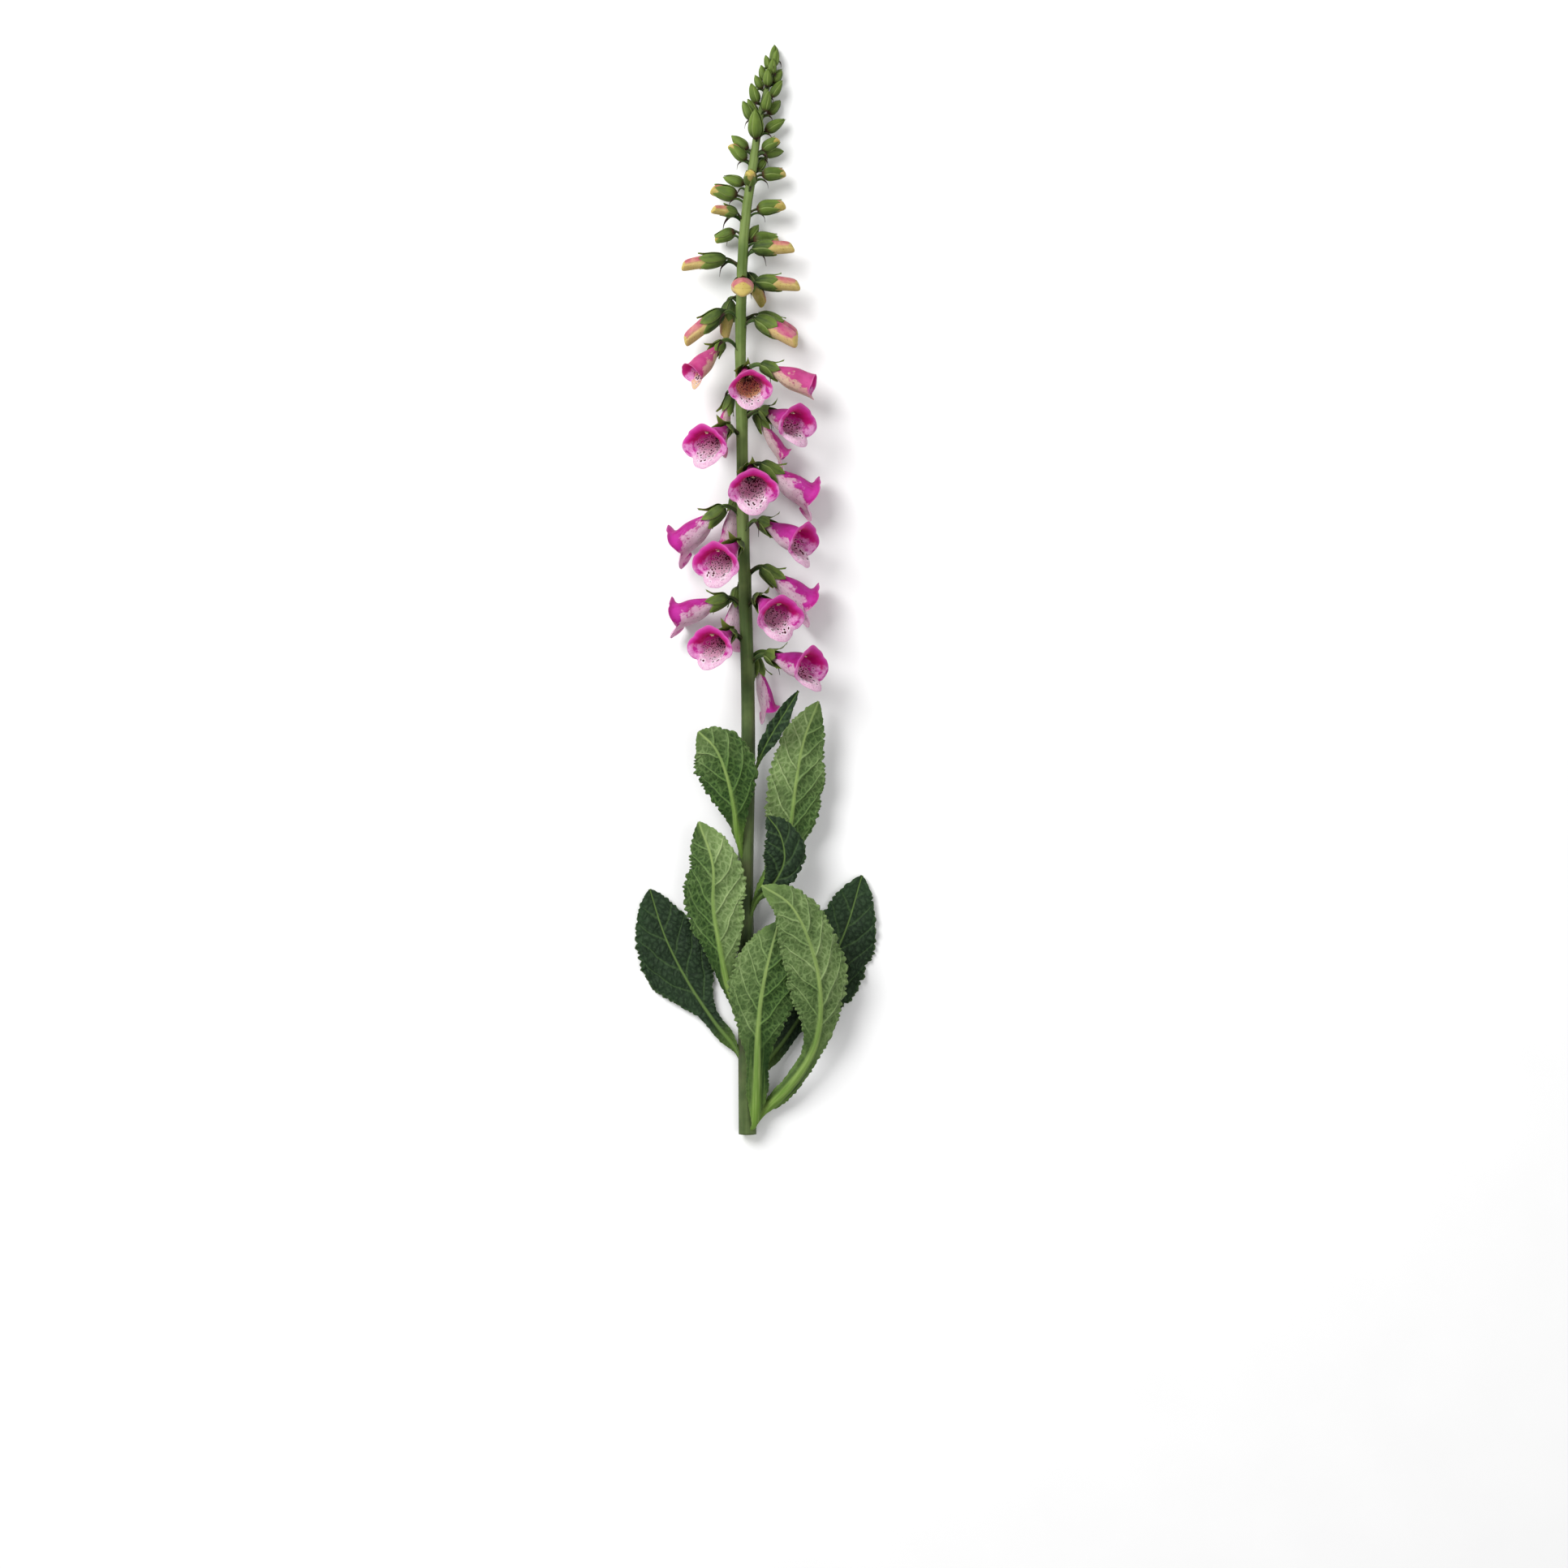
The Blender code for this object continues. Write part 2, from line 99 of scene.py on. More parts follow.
# Open bells: how far up the stem the calyx sits, the side of the stem it grows from (0 is
# right, 90 is away from the table), its distance from the centre line, the side the mouth
# faces, its droop towards the cut end, its size, how far the lips have opened, how flat it is
# pressed, and how young its colours are.
BELLS = {
    "01": (-36, 12, 15, 40, 15, 1.00, 1.0, 1.0, 0.0),
    "02": (-20, 140, 13, 113, 18, 0.96, 1.0, 1.0, 0.0),
    "03": (4, 48, 13, 65, 22, 1.00, 1.0, 1.0, 0.0),
    "04": (5, 185, 13, 193, 20, 0.94, 0.9, 1.0, 0.0),
    "05": (26, 2, 13, -14.5, 36, 1.00, 1.0, 1.0, 0.0),
    "06": (43, 104, 12, 114, 24, 1.00, 1.0, 1.0, 0.05),
    "07": (59, 30, 14, 34, 25, 0.98, 1.0, 1.0, 0.0),
    "08": (69, 172, 14, 197.5, 38, 1.00, 1.0, 1.0, 0.0),
    "09": (97, 64, 13, 86, 28, 1.00, 1.0, 1.0, 0.1),
    "10": (100, 4, 14, -14, 33, 1.00, 1.0, 1.0, 0.05),
    "11": (126, 136, 13, 116, 24, 0.96, 1.0, 1.0, 0.1),
    "12": (138, 16, 16, 50, 19, 0.95, 1.0, 1.0, 0.15),
    "13": (167, 78, 12, 82, 27, 0.94, 0.8, 1.0, 0.6),
    "14": (171, 8, 15, 8, 23, 0.90, 0.15, 1.0, 0.8),
    "15": (187, 168, 13, 150, 44, 0.80, 0.45, 1.0, 0.9),
    "16": (-38, -50, 10, -13, 76, 0.92, 0.8, 0.62, 0.0),
    "17": (12, -122, 9, -125, 80, 0.88, 0.8, 0.62, 0.0),
    "18": (137, -40, 13, -5, 56, 0.86, 0.8, 0.60, 0.3),
    "19": (80, -118, 9, -135, 80, 0.88, 0.8, 0.62, 0.1),
    "20": (150, -140, 10, -165, 76, 0.86, 0.8, 0.62, 0.4),
}

# Coloured buds: the same first five columns, the bud's length, how young it is, how thick it
# is, and how much wider its petals are than its sepals.
BUDS = {
    "01": (204, 20, 12, 16, 28, 35, 0.15, 1.10, 1.06),
    "02": (208, -24, 14, -14, 24, 32, 0.3, 0.98, 1.0),
    "03": (210, 178, 13, 184, 36, 35, 0.4, 1.0, 1.0),
    "04": (218, -140, 10, -140, 74, 26, 0.8, 0.86, 1.0),
    "05": (228, 88, 9, 88, 12, 28, 0.55, 1.02, 1.42),
    "06": (231, 8, 11, 10, 4, 31, 0.6, 0.95, 1.0),
    "07": (238, -62, 9, -32, 56, 25, 1.0, 0.86, 1.0),
    "08": (248, 176, 13, 180, 8, 31, 0.65, 0.90, 0.95),
    "09": (255, 12, 8, 14, -2, 29, 0.7, 0.92, 1.0),
    "10": (281, 160, 8, 152, -5, 19, 0.85, 0.68, 1.0),
}

# Green buds near the tip: the same six columns, and how far the petals show past the sepals.
GREEN_BUDS = (
    (262, -30, 8, -26, -4, 22, 0.4),
    (268, -160, 8, 206, 18, 18, 0.3),
    (262, -60, 5, -35, -50, 15, 0.0),
    (284, 2, 8, 8, -8, 21, 1.0),
    (294, 180, 9, 182, -14, 20, 0.8),
    (302, 88, 6, 90, -20, 17, 0.9),
    (309, 0, 8, -4, -6, 18, 0.6),
    (303, -150, 6, 190, -20, 15, 0.1),
    (313, -50, 6, -28, -58, 12, 0.0),
    (320, 176, 6, 172, -43, 17, 0.5),
    (328, -170, 6, 190, -40, 15, 0.0),
    (327, 12, 6, 15, -33, 15, 0.4),
    (325, -22, 7, -20, -8, 15, 0.0),
    (335, 92, 5, 95, -66, 20, 0.1),
    (341, -8, 6, -8, -33, 16, 0.0),
    (349, 172, 6, 182, -66, 14, 0.0),
    (353, -150, 4, 205, -62, 13, 0.0),
    (355, 60, 5, 60, -66, 14, 0.0),
    (354, -25, 6, -22, -48, 13, 0.0),
    (361, 150, 5, 152, -70, 14, 0.0),
    (366, 10, 5, 10, -56, 13, 0.0),
    (372, -170, 4, 188, -64, 11, 0.0),
    (373, 88, 4, 85, -72, 12, 0.0),
    (376, -10, 4, -2, -56, 10, 0.0),
    (378, 178, 3, 180, -74, 11, 0.0),
    (382, 70, 3, 70, -74, 11, 0.0),
    (380, -40, 4, -20, -50, 9, 0.0),
    (386, 160, 2, 165, -76, 10, 0.0),
    (388, 60, 2, 40, -76, 11, 0.0),
    (391, -60, 1, -80, -84, 13, 0.0),
)

# Leaves: midrib points from the base to the tip (x, y, z), how far the blade leans to the right,
# the blade's full width, where it is widest, how far its edges droop, which side shows, the
# winged stalk's share of the length and half width, and painted light and shade: how much paler
# or darker than usual the blade is painted on its left half, on its right half, and towards its
# tip, as light on one folded half and shade on the other.
LEAVES = {
    "front_left": (
        ((-9.5, -166, 27), (-12, -145, 35), (-17, -122, 41), (-25, -103, 44), (-37, -91, 45)),
        -0.15, 43, 0.62, 3.0, "under", (0.0, 5.5), (-0.95, -1.35, 1.5),
    ),
    "right": (
        ((5.5, -205, 20), (20, -181, 21), (28, -160, 24), (32, -130, 28), (38, -97, 28),
         (48.5, -69, 21)),
        0.2, 41, 0.52, -3.0, "under", (0.05, 4.0), (0.25, -0.45, 0.1),
    ),
    "bract": (
        ((4.6, -114, 27), (12, -98, 35), (24, -78, 41), (34, -62, 41)),
        0.1, 12, 0.45, 1.0, "upper", (0.0, 2.0), (-0.6, -0.6, 0.0),
    ),
    "right_fold": (
        ((4.0, -211, 23.5), (17, -198, 32), (24, -182, 37), (21, -164, 38), (12, -151, 37)),
        0.1, 29, 0.55, 3.0, "upper", (0.08, 4.0), (-1.2, -1.0, 0.0),
    ),
    "left": (
        ((-10.5, -289, 16), (-17, -270, 22), (-22, -245, 28), (-26.7, -215, 33),
         (-27, -185, 36), (-37, -155, 34)),
        -0.2, 44, 0.58, 3.0, "under", (0.10, 5.5), (-1.0, 0.45, 0.2),
    ),
    "front_centre": (
        ((3.0, -369, 15.5), (4.5, -335, 22), (6, -294, 30), (11, -261, 36), (20, -226, 38)),
        -0.1, 50, 0.66, 4.0, "under", (0.26, 8.0), (-0.25, -0.9, 0.1),
    ),
    "front_right": (
        ((7.0, -366, 8.5), (28, -345, 16), (45, -318, 25), (50, -286, 35), (45, -250, 44),
         (30, -216, 50), (8, -200, 51)),
        0.2, 44, 0.60, 4.0, "under", (0.26, 6.5), (-0.1, 0.1, 0.1),
    ),
    "flat_left": (
        ((-11.3, -318, 8), (-26, -300, 5.3), (-46, -270, 2.8), (-62, -238, 2.8), (-73, -204, 3.6)),
        0.0, 50, 0.55, 2.2, "upper", (0.2, 6.0), (-0.5, -0.7, 0.0),
    ),
    "flat_right": (
        ((6.2, -336, 7), (26, -310, 5), (50, -272, 2.8), (68, -234, 2.8), (80, -194, 3.6)),
        0.0, 52, 0.55, 2.2, "upper", (0.2, 6.0), (-0.5, -0.7, 0.0),
    ),
}
LEAF_WALL = 0.24  # half the blade's thickness
LEAF_TIP_WIDTH = 1.6
LEAF_TIP_POWER = 0.75  # how blunt the tip is
VEIN_LEAN = 1.0  # how fast a side vein runs towards the tip
VEIN_BEND = 0.03  # how much more it leans further out
VEIN_START = 20.0  # where the count of the side veins starts, so that it stays above 0
TOOTH_LENGTH = 4.6
TOOTH_DEPTH = 2.2
DECURRENT = 20.0  # how far down the stem a leaf's midrib starts
STALK_WIDENS = 36.0  # over what distance a leaf's base reaches its full width
QUILTING = 0.3  # how far the blade puckers between its small veins
FOLD = 3.0  # how far the two halves of a blade fold away from the midrib

# How wide the pattern is laid round a piece: all round, or for each radian.
STEM_GIRTH = 34.0
STALK_GIRTH = 6.0
BELL_GIRTH = 9.5
BUD_GIRTH = 6.0
GREEN_BUD_GIRTH = 4.0
# How far apart on the pattern the patches of neighbouring pieces lie, so that no two are alike.
BELL_PATCH = (61.0, 37.0)
BUD_PATCH = 41.0
GREEN_BUD_PATCH = 29.0
SEPAL_PATCH = 13.0
LEAF_PATCH = 53.0

VIEW_WIDTH = 1120.6  # what the camera sees from side to side, at the flowers' height
VIEW_MIDDLE = (23.8, -128.2, 25.0)
CAMERA_HEIGHT = 2600.0

# How finely the surfaces are cut up.
BELL_SIDES = 80
BELL_ROWS = 44
STEM_SIDES = 40
STEM_ROWS = 700
LEAF_STEP = 0.8
LEAF_COLUMNS = 55
MIDRIB_STEPS = 900
BUD_ROWS, BUD_SIDES = 44, 48
GREEN_BUD_ROWS, GREEN_BUD_SIDES = 20, 24
SEPAL_ROWS, SEPAL_COLUMNS = 15, 9
BRACT_ROWS, BRACT_COLUMNS = 18, 7
STALK_ROWS, STALK_SIDES = 14, 10
THREAD_SIDES, SACK_ROWS, SACK_SIDES = 6, 9, 8

FIFTH = 2 * math.pi / 5  # of a turn, from sepal to sepal


# Arithmetic on whole arrays of points.


def unit(vectors):
    return vectors / np.linalg.norm(vectors, axis=-1, keepdims=True)


def smoothstep(x):
    x = np.clip(x, 0.0, 1.0)
    return x * x * (3.0 - 2.0 * x)


def bump(x, centre, width):
    """A smooth hill of height 1."""
    return np.exp(-(((x - centre) / width) ** 2))


def smooth_path(points, count):
    """A Catmull-Rom curve through the points, read at evenly spaced values of its parameter."""
    p = np.array(points, float)
    p = np.vstack([2 * p[0] - p[1], p, 2 * p[-1] - p[-2]])
    t = np.linspace(0.0, len(points) - 1.0, count)
    i = np.minimum(t.astype(int), len(points) - 2)
    f = (t - i)[:, None]
    a, b, c, d = p[i], p[i + 1], p[i + 2], p[i + 3]
    return 0.5 * (
        2 * b + (c - a) * f + (2 * a - 5 * b + 4 * c - d) * f**2 + (3 * b - a - 3 * c + d) * f**3
    )


def run_of(path):
    """How far along the path each of its points lies."""
    steps = np.linalg.norm(np.diff(path, axis=0), axis=1)
    return np.concatenate([[0.0], np.cumsum(steps)])


def ripple(angles, seed, waves=(2, 3, 5, 7)):
    """A sum of cosines with random phases: an uneven ripple that closes on itself."""
    random = np.random.default_rng(seed)
    phases = random.uniform(0, 2 * math.pi, len(waves))
    heights = random.uniform(0.4, 1.0, len(waves)) / np.sqrt(np.array(waves))
    return sum(h * np.cos(k * angles + p) for k, p, h in zip(waves, phases, heights))


def puckers(x, y, seed, length=6.0, waves=9):
    """Soft domes about length apart: plane waves that run in random directions, added up."""
    random = np.random.default_rng(seed + 400)
    total = np.zeros(np.broadcast(x, y).shape)
    for turn, phase, scale in random.uniform(0, 1, (waves, 3)):
        a, wave = 2 * math.pi * turn, length * (0.7 + 0.7 * scale)
        along = (x * math.cos(a) + y * math.sin(a)) / wave
        total += np.cos(2 * math.pi * (along + phase))
    return np.tanh(total / math.sqrt(waves))


def around(sides):
    """A row of angles once round, 0 first."""
    return (np.arange(sides) * 2 * math.pi / sides)[None]


def there_and_back(grid):
    """The grid's columns, then the same columns in reverse: round both faces of a sheet."""
    return np.concatenate([grid, grid[:, ::-1]], axis=1)


def closed(grid):
    """The grid with its first column once more at the end."""
    return np.concatenate([grid, grid[:, :1]], axis=1)


def grid_of(*coordinates):
    """Points, or pattern coordinates, from arrays that broadcast to one grid."""
    return np.stack(np.broadcast_arrays(*coordinates), -1)


STEM_FINE = smooth_path(STEM_POINTS, 400)


def stem_at(y):
    """The stem's centre and its radius, that far up."""
    values = [np.interp(y, STEM_FINE[:, 1], STEM_FINE[:, k]) for k in range(4)]
    return np.array(values[:3]), values[3]


def outward(side_deg):
    """The direction away from the stem, on that side of it."""
    a = math.radians(side_deg)
    return np.array([math.cos(a), 0.0, math.sin(a)])


def clear_of_table(points):
    """Eases low points up, so that nothing reaches below the table it rests on."""
    low, soft = 0.35, 0.5
    lifted = low + soft * np.logaddexp(0.0, (points[..., 2] - low) / soft)
    return np.concatenate([points[..., :2], lifted[..., None]], axis=-1)


def cut_end_shift():
    """From the plant's own axes to the frame's: how far the cut end's middle has moved, in mm."""
    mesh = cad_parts["stem"].data
    points = np.empty(len(mesh.vertices) * 3)
    mesh.vertices.foreach_get("co", points)
    points = np.unique(points.reshape(-1, 3).round(6), axis=0) / MM
    end = points[points[:, 1] < points[:, 1].min() + 2.0]
    return end.mean(axis=0) - np.array(STEM_POINTS[0][:3])


SHIFT = cut_end_shift()


# Meshes.


def link_object(name, data):
    """A new object in the scene, with its own origin at the frame's."""
    made = bpy.data.objects.new(name, data)
    bpy.context.scene.collection.objects.link(made)
    return made


def faces_of(grid, middles):
    """The corners of each cell of a grid, and of the fans from its end rows to their middles."""
    quads = np.stack([grid[:-1, :-1], grid[:-1, 1:], grid[1:, 1:], grid[1:, :-1]], 2)
    first, last = (np.broadcast_to(middle, grid[0, 1:].shape) for middle in middles)
    fans = [[grid[0, 1:], grid[0, :-1], first], [grid[-1, :-1], grid[-1, 1:], last]]
    return quads.reshape(-1, *quads.shape[2:]), np.concatenate([np.stack(f, 1) for f in fans])


class Skin:
    """Closed bodies gathered into one mesh, with pattern coordinates and marks per point."""

    def __init__(self):
        self.bodies = []
        self.count = 0

    def body(self, rows, uv=None, **marks):
        """Adds the closed surface over a grid of points, rows by columns.

        Four-sided faces join neighbouring points, the last column joins the first, and a fan
        of triangles round its middle closes each end. Faces are turned to point outwards. uv
        has one column more than the grid, for the far side of the seam.
        """
        n, m = rows.shape[:2]
        uv = np.zeros((n, m + 1, 2)) if uv is None else uv
        ends = rows[[0, -1]].mean(axis=1)
        points = np.vstack([rows.reshape(-1, 3), ends])
        faces = faces_of(closed(np.arange(n * m).reshape(n, m)), (n * m, n * m + 1))
        places = faces_of(uv, uv[[0, -1]].mean(axis=1))
        triangles = np.vstack([faces[0][:, :3], faces[0][:, [0, 2, 3]], faces[1]])
        a, b, c = (points - ends.mean(axis=0))[triangles].transpose(1, 0, 2)
        if np.einsum("ij,ij->", a, np.cross(b, c)) < 0:
            faces, places = [[part[:, ::-1] for part in both] for both in (faces, places)]
        grids = {k: np.broadcast_to(np.asarray(v, float), (n, m)) for k, v in marks.items()}
        marks = {k: np.append(g, g[[0, -1]].mean(axis=1)) for k, g in grids.items()}
        self.bodies.append((points, *[part + self.count for part in faces], *places, marks))
        self.count += len(points)

    def build(self, name, slot, finish, *nodes):
        """Makes the mesh object, which rides on the plant and stands for the given nodes."""
        *arrays, marks = zip(*self.bodies)
        points, quads, tris, quad_uvs, tri_uvs = map(np.vstack, arrays)
        points = (clear_of_table(points) + SHIFT) * MM
        corners = np.append(quads, tris)
        starts = np.append(np.arange(len(quads)) * 4, quads.size + np.arange(len(tris)) * 3)
        mesh = bpy.data.meshes.new(name)
        mesh.vertices.add(len(points))
        mesh.vertices.foreach_set("co", points.ravel())
        mesh.loops.add(len(corners))
        mesh.loops.foreach_set("vertex_index", corners.astype(np.int32))
        mesh.polygons.add(len(starts))
        mesh.polygons.foreach_set("loop_start", starts.astype(np.int32))
        mesh.update(calc_edges=True)
        uvs = np.append(quad_uvs, tri_uvs).astype(np.float32)
        mesh.uv_layers.new(name="pattern").data.foreach_set("uv", uvs)
        for key in sorted({k for own in marks for k in own}):
            values = np.concatenate([
                own.get(key, np.zeros(len(body[0]))) for own, body in zip(marks, self.bodies)
            ])
            layer = mesh.attributes.new(key, "FLOAT", "POINT")
            layer.data.foreach_set("value", values.astype(np.float32))
        mesh.shade_smooth()
        mesh.materials.append(finish)
        piece = link_object(name, mesh)
        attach(piece, "root")
        if nodes:
            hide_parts(*nodes)


def tube(path, radius, sides, reference=RIGHTWARD):
    """Rings round a path; angle 0 of every ring lies near the reference.

    The radius is one number, a column with one for each ring, or a grid.
    """
    tangent = unit(np.gradient(path, axis=0))
    across = unit(reference - tangent * (tangent @ reference)[:, None])
    other = np.cross(tangent, across)
    angles = around(sides)[0][:, None]
    turn = across[:, None] * np.cos(angles) + other[:, None] * np.sin(angles)
    return path[:, None] + turn * np.broadcast_to(radius, turn.shape[:2])[..., None]


def tube_uv(path, sides, girth):
    """Pattern coordinates in millimetres: round the tube, and along it."""
    return grid_of(np.linspace(0.0, girth, sides + 1)[None], run_of(path)[:, None])


def arch(start, end, axes, leave, count):
    """A cubic Bezier curve from the stem to the flower's base, in line with both."""
    reach = np.linalg.norm(end - start)
    t = np.linspace(0.0, 1.0, count)[:, None]
    c1 = start + leave * reach * 0.45
    c2 = end - axes[:, 2] * reach * 0.35
    return (1 - t) ** 3 * start + 3 * (1 - t) ** 2 * t * c1 + 3 * (1 - t) * t**2 * c2 + t**3 * end


def blade(path, face, half, cup, thickness, columns):
    """A thin closed strip along a path, with its marks edge and along.

    half is its half width along the way, cup how far the edges turn up over the middle, and
    thickness the strip's own, thinning to its edges.
    """
    tangent = unit(np.gradient(path, axis=0))
    normal = unit(face - tangent * (tangent @ face)[:, None])
    across = np.cross(tangent, normal)
    x = np.linspace(-1.0, 1.0, columns)
    out = across[:, None] * (x[:, None] * half[:, None, None])
    lift = normal[:, None] * (cup * x**2)[..., None] * (half / half.max())[:, None, None]
    wall = normal[:, None] * (thickness / 2 * (1.05 - x**2))[:, None]
    sheet = path[:, None] + out + lift
    rows = np.concatenate([sheet + wall, (sheet - wall)[:, ::-1]], axis=1)
    return rows, there_and_back(np.abs(x[None])), np.linspace(0.0, 1.0, len(path))[:, None]


# Materials.


def rgb(red, green, blue):
    """A display colour as the linear colour that the shaders use."""
    c = np.array([red, green, blue]) / 255.0
    return (*np.where(c > 0.04045, ((c + 0.055) / 1.055) ** 2.4, c / 12.92).tolist(), 1.0)


class Value:
    """A shader socket to reckon with: each sign and each method adds a node to its tree."""

    def __init__(self, tree, socket):
        self.tree, self.socket = tree, socket

    def __add__(self, other):
        return self.tree.math("ADD", self, other)

    def __sub__(self, other):
        return self.tree.math("SUBTRACT", self, other)

    def __rsub__(self, other):
        return self.tree.math("SUBTRACT", other, self)

    def __mul__(self, other):
        return self.tree.math("MULTIPLY", self, other)

    def __rtruediv__(self, other):
        return self.tree.math("DIVIDE", other, self)

    def __abs__(self):
        return self.tree.math("ABSOLUTE", self)

    __radd__, __rmul__ = __add__, __mul__

    def peak(self, other):
        return self.tree.math("MAXIMUM", self, other)

    def step(self, low, high):
        """0 below low, 1 above high, smooth between; the other way round when low is above."""
        inputs = {"Value": self, "From Min": low, "From Max": high}
        return self.tree.node("MapRange", inputs, "Result", interpolation_type="SMOOTHSTEP")

    def mix(self, first, second):
        """The first colour where this is 0, the second where it is 1."""
        return self.tree.node("Mix", {0: self, 6: first, 7: second}, 2, data_type="RGBA")

    def stretched(self, y=1.0, x=1.0, z=1.0):
        return self.tree.node("Mapping", {"Vector": self, "Scale": (x, y, z)})

    def noise(self, size, detail=2.0):
        """Soft noise around 0.5, with features about size millimetres across."""
        inputs = {"Vector": self, "Scale": 1.0 / size, "Detail": detail}
        return self.tree.node("TexNoise", inputs)

    def specks(self, cell, radius, share):
        """Spots and their halos, as specks_group says."""
        inputs = {"Vector": self, "Cell": cell, "Radius": radius, "Share": share}
        return self.tree.group("specks", inputs, "Spot", "Halo")

    def cloud(self, value, middle, blur, size, rough):
        """The soft edge that cloud_group says."""
        inputs = {"Vector": self, "Value": value, "Middle": middle, "Blur": blur, "Size": size,
                  "Roughness": rough}
        return self.tree.group("cloud", inputs, "Mask")


class Tree:
    """A node tree that is written like a formula: each call adds a node and returns values."""

    def __init__(self, node_tree):
        self.nodes, self.links = node_tree.nodes, node_tree.links

    def put(self, socket, value):
        if isinstance(value, Value):
            self.links.new(value.socket, socket)
        else:
            socket.default_value = value

    def node(self, kind, inputs, *outputs, **settings):
        """Adds a node; returns its output, its named output, or a list of those that are named."""
        made = self.nodes.new("ShaderNode" + kind)
        for key, value in settings.items():
            setattr(made, key, value)
        for key, value in inputs.items():
            self.put(made.inputs[key], value)
        values = [Value(self, made.outputs[key]) for key in outputs or (0,)]
        return values if len(values) > 1 else values[0]

    def math(self, operation, *values):
        return self.node("Math", dict(enumerate(values)), operation=operation)

    def group(self, name, inputs, *outputs):
        return self.node("Group", inputs, *outputs, node_tree=bpy.data.node_groups[name])


class Finish(Tree):
    """A new material; the constants of its surface are set straight on its sockets."""

    def __init__(self, name):
        self.material = bpy.data.materials.new(name)
        self.material.use_nodes = True
        super().__init__(self.material.node_tree)

    def marks(self, *names):
        return [self.node("Attribute", {}, "Fac", attribute_name=name) for name in names]

    def pattern(self):
        """The piece's own pattern coordinates, in millimetres."""
        return self.node("UVMap", {}, "UV", uv_map="pattern")

    def place(self):
        """Object coordinates, in millimetres."""
        return self.node("TexCoord", {}, "Object").stretched(1000.0, 1000.0, 1000.0)

    def done(self, colour, roughness, height=None, depth=0.0, specular=0.5, sheen=(0.0, 0.5),
             flesh=0.0, bleed=(1.0, 1.6, 0.6)):
        """Fills in the surface.

        height is a bump depth millimetres high; sheen is its weight and roughness, and flesh
        how much light passes through the skin, which bleeds that far in millimetres.
        """
        surface = {
            "Base Color": colour, "Roughness": roughness, "Specular IOR Level": specular,
            "Sheen Weight": sheen[0], "Sheen Roughness": sheen[1], "Subsurface Weight": flesh,
            "Subsurface Radius": [far * MM for far in bleed], "Subsurface Scale": 1.0,
        }
        if height is not None:
            inputs = {"Height": height, "Distance": depth * MM}
            surface["Normal"] = self.node("Bump", inputs, "Normal")
        for key, value in surface.items():
            self.put(self.nodes["Principled BSDF"].inputs[key], value)
        return self.material


def painted(colour, *coats):
    """Lays coats over a colour, each given as where it shows and what colour it is."""
    for share, coat in coats:
        colour = share.mix(colour, coat)
    return colour


def group_tree(name, inputs, outputs):
    """An empty shader group: its tree, its inputs as values, and its output sockets."""
    made = bpy.data.node_groups.new(name, "ShaderNodeTree")
    for side, keys in (("INPUT", inputs), ("OUTPUT", outputs)):
        for key in keys:
            kind = "NodeSocketVector" if key == "Vector" else "NodeSocketFloat"
            made.interface.new_socket(name=key, in_out=side, socket_type=kind)
    tree = Tree(made)
    entry = made.nodes.new("NodeGroupInput").outputs
    leave = made.nodes.new("NodeGroupOutput").inputs
    return tree, [Value(tree, entry[key]) for key in inputs], leave


def specks_group():
    """Irregular spots of random sizes, one to a cell, each with a halo.

    A spot is where the distance to the cell's random point is under a radius that the cell's
    random colour sets; cells whose second random value is over the share stay bare.
    """
    tree, (at, cell, radius, share), leave = group_tree(
        "specks", ("Vector", "Cell", "Radius", "Share"), ("Spot", "Halo")
    )
    wobble = tree.node("TexNoise", {"Vector": at, "Scale": 0.9}, "Color")
    shift = tree.node("VectorMath", {0: wobble, 1: (0.9, 0.9, 0.0)}, operation="MULTIPLY")
    moved = tree.node("VectorMath", {0: at, 1: shift}, operation="ADD")
    distance, colour = tree.node(
        "TexVoronoi", {"Vector": moved, "Scale": 1.0 / cell}, "Distance", "Color",
        voronoi_dimensions="2D",
    )
    size, draw = tree.node("SeparateColor", {0: colour}, 0, 1)
    radius = radius * (0.55 + size * 0.75)
    there = tree.math("LESS_THAN", draw, share)
    tree.put(leave["Spot"], distance.step(radius * 1.15, radius * 0.8) * there)
    tree.put(leave["Halo"], distance.step(radius * 2.4, radius * 1.3) * there)


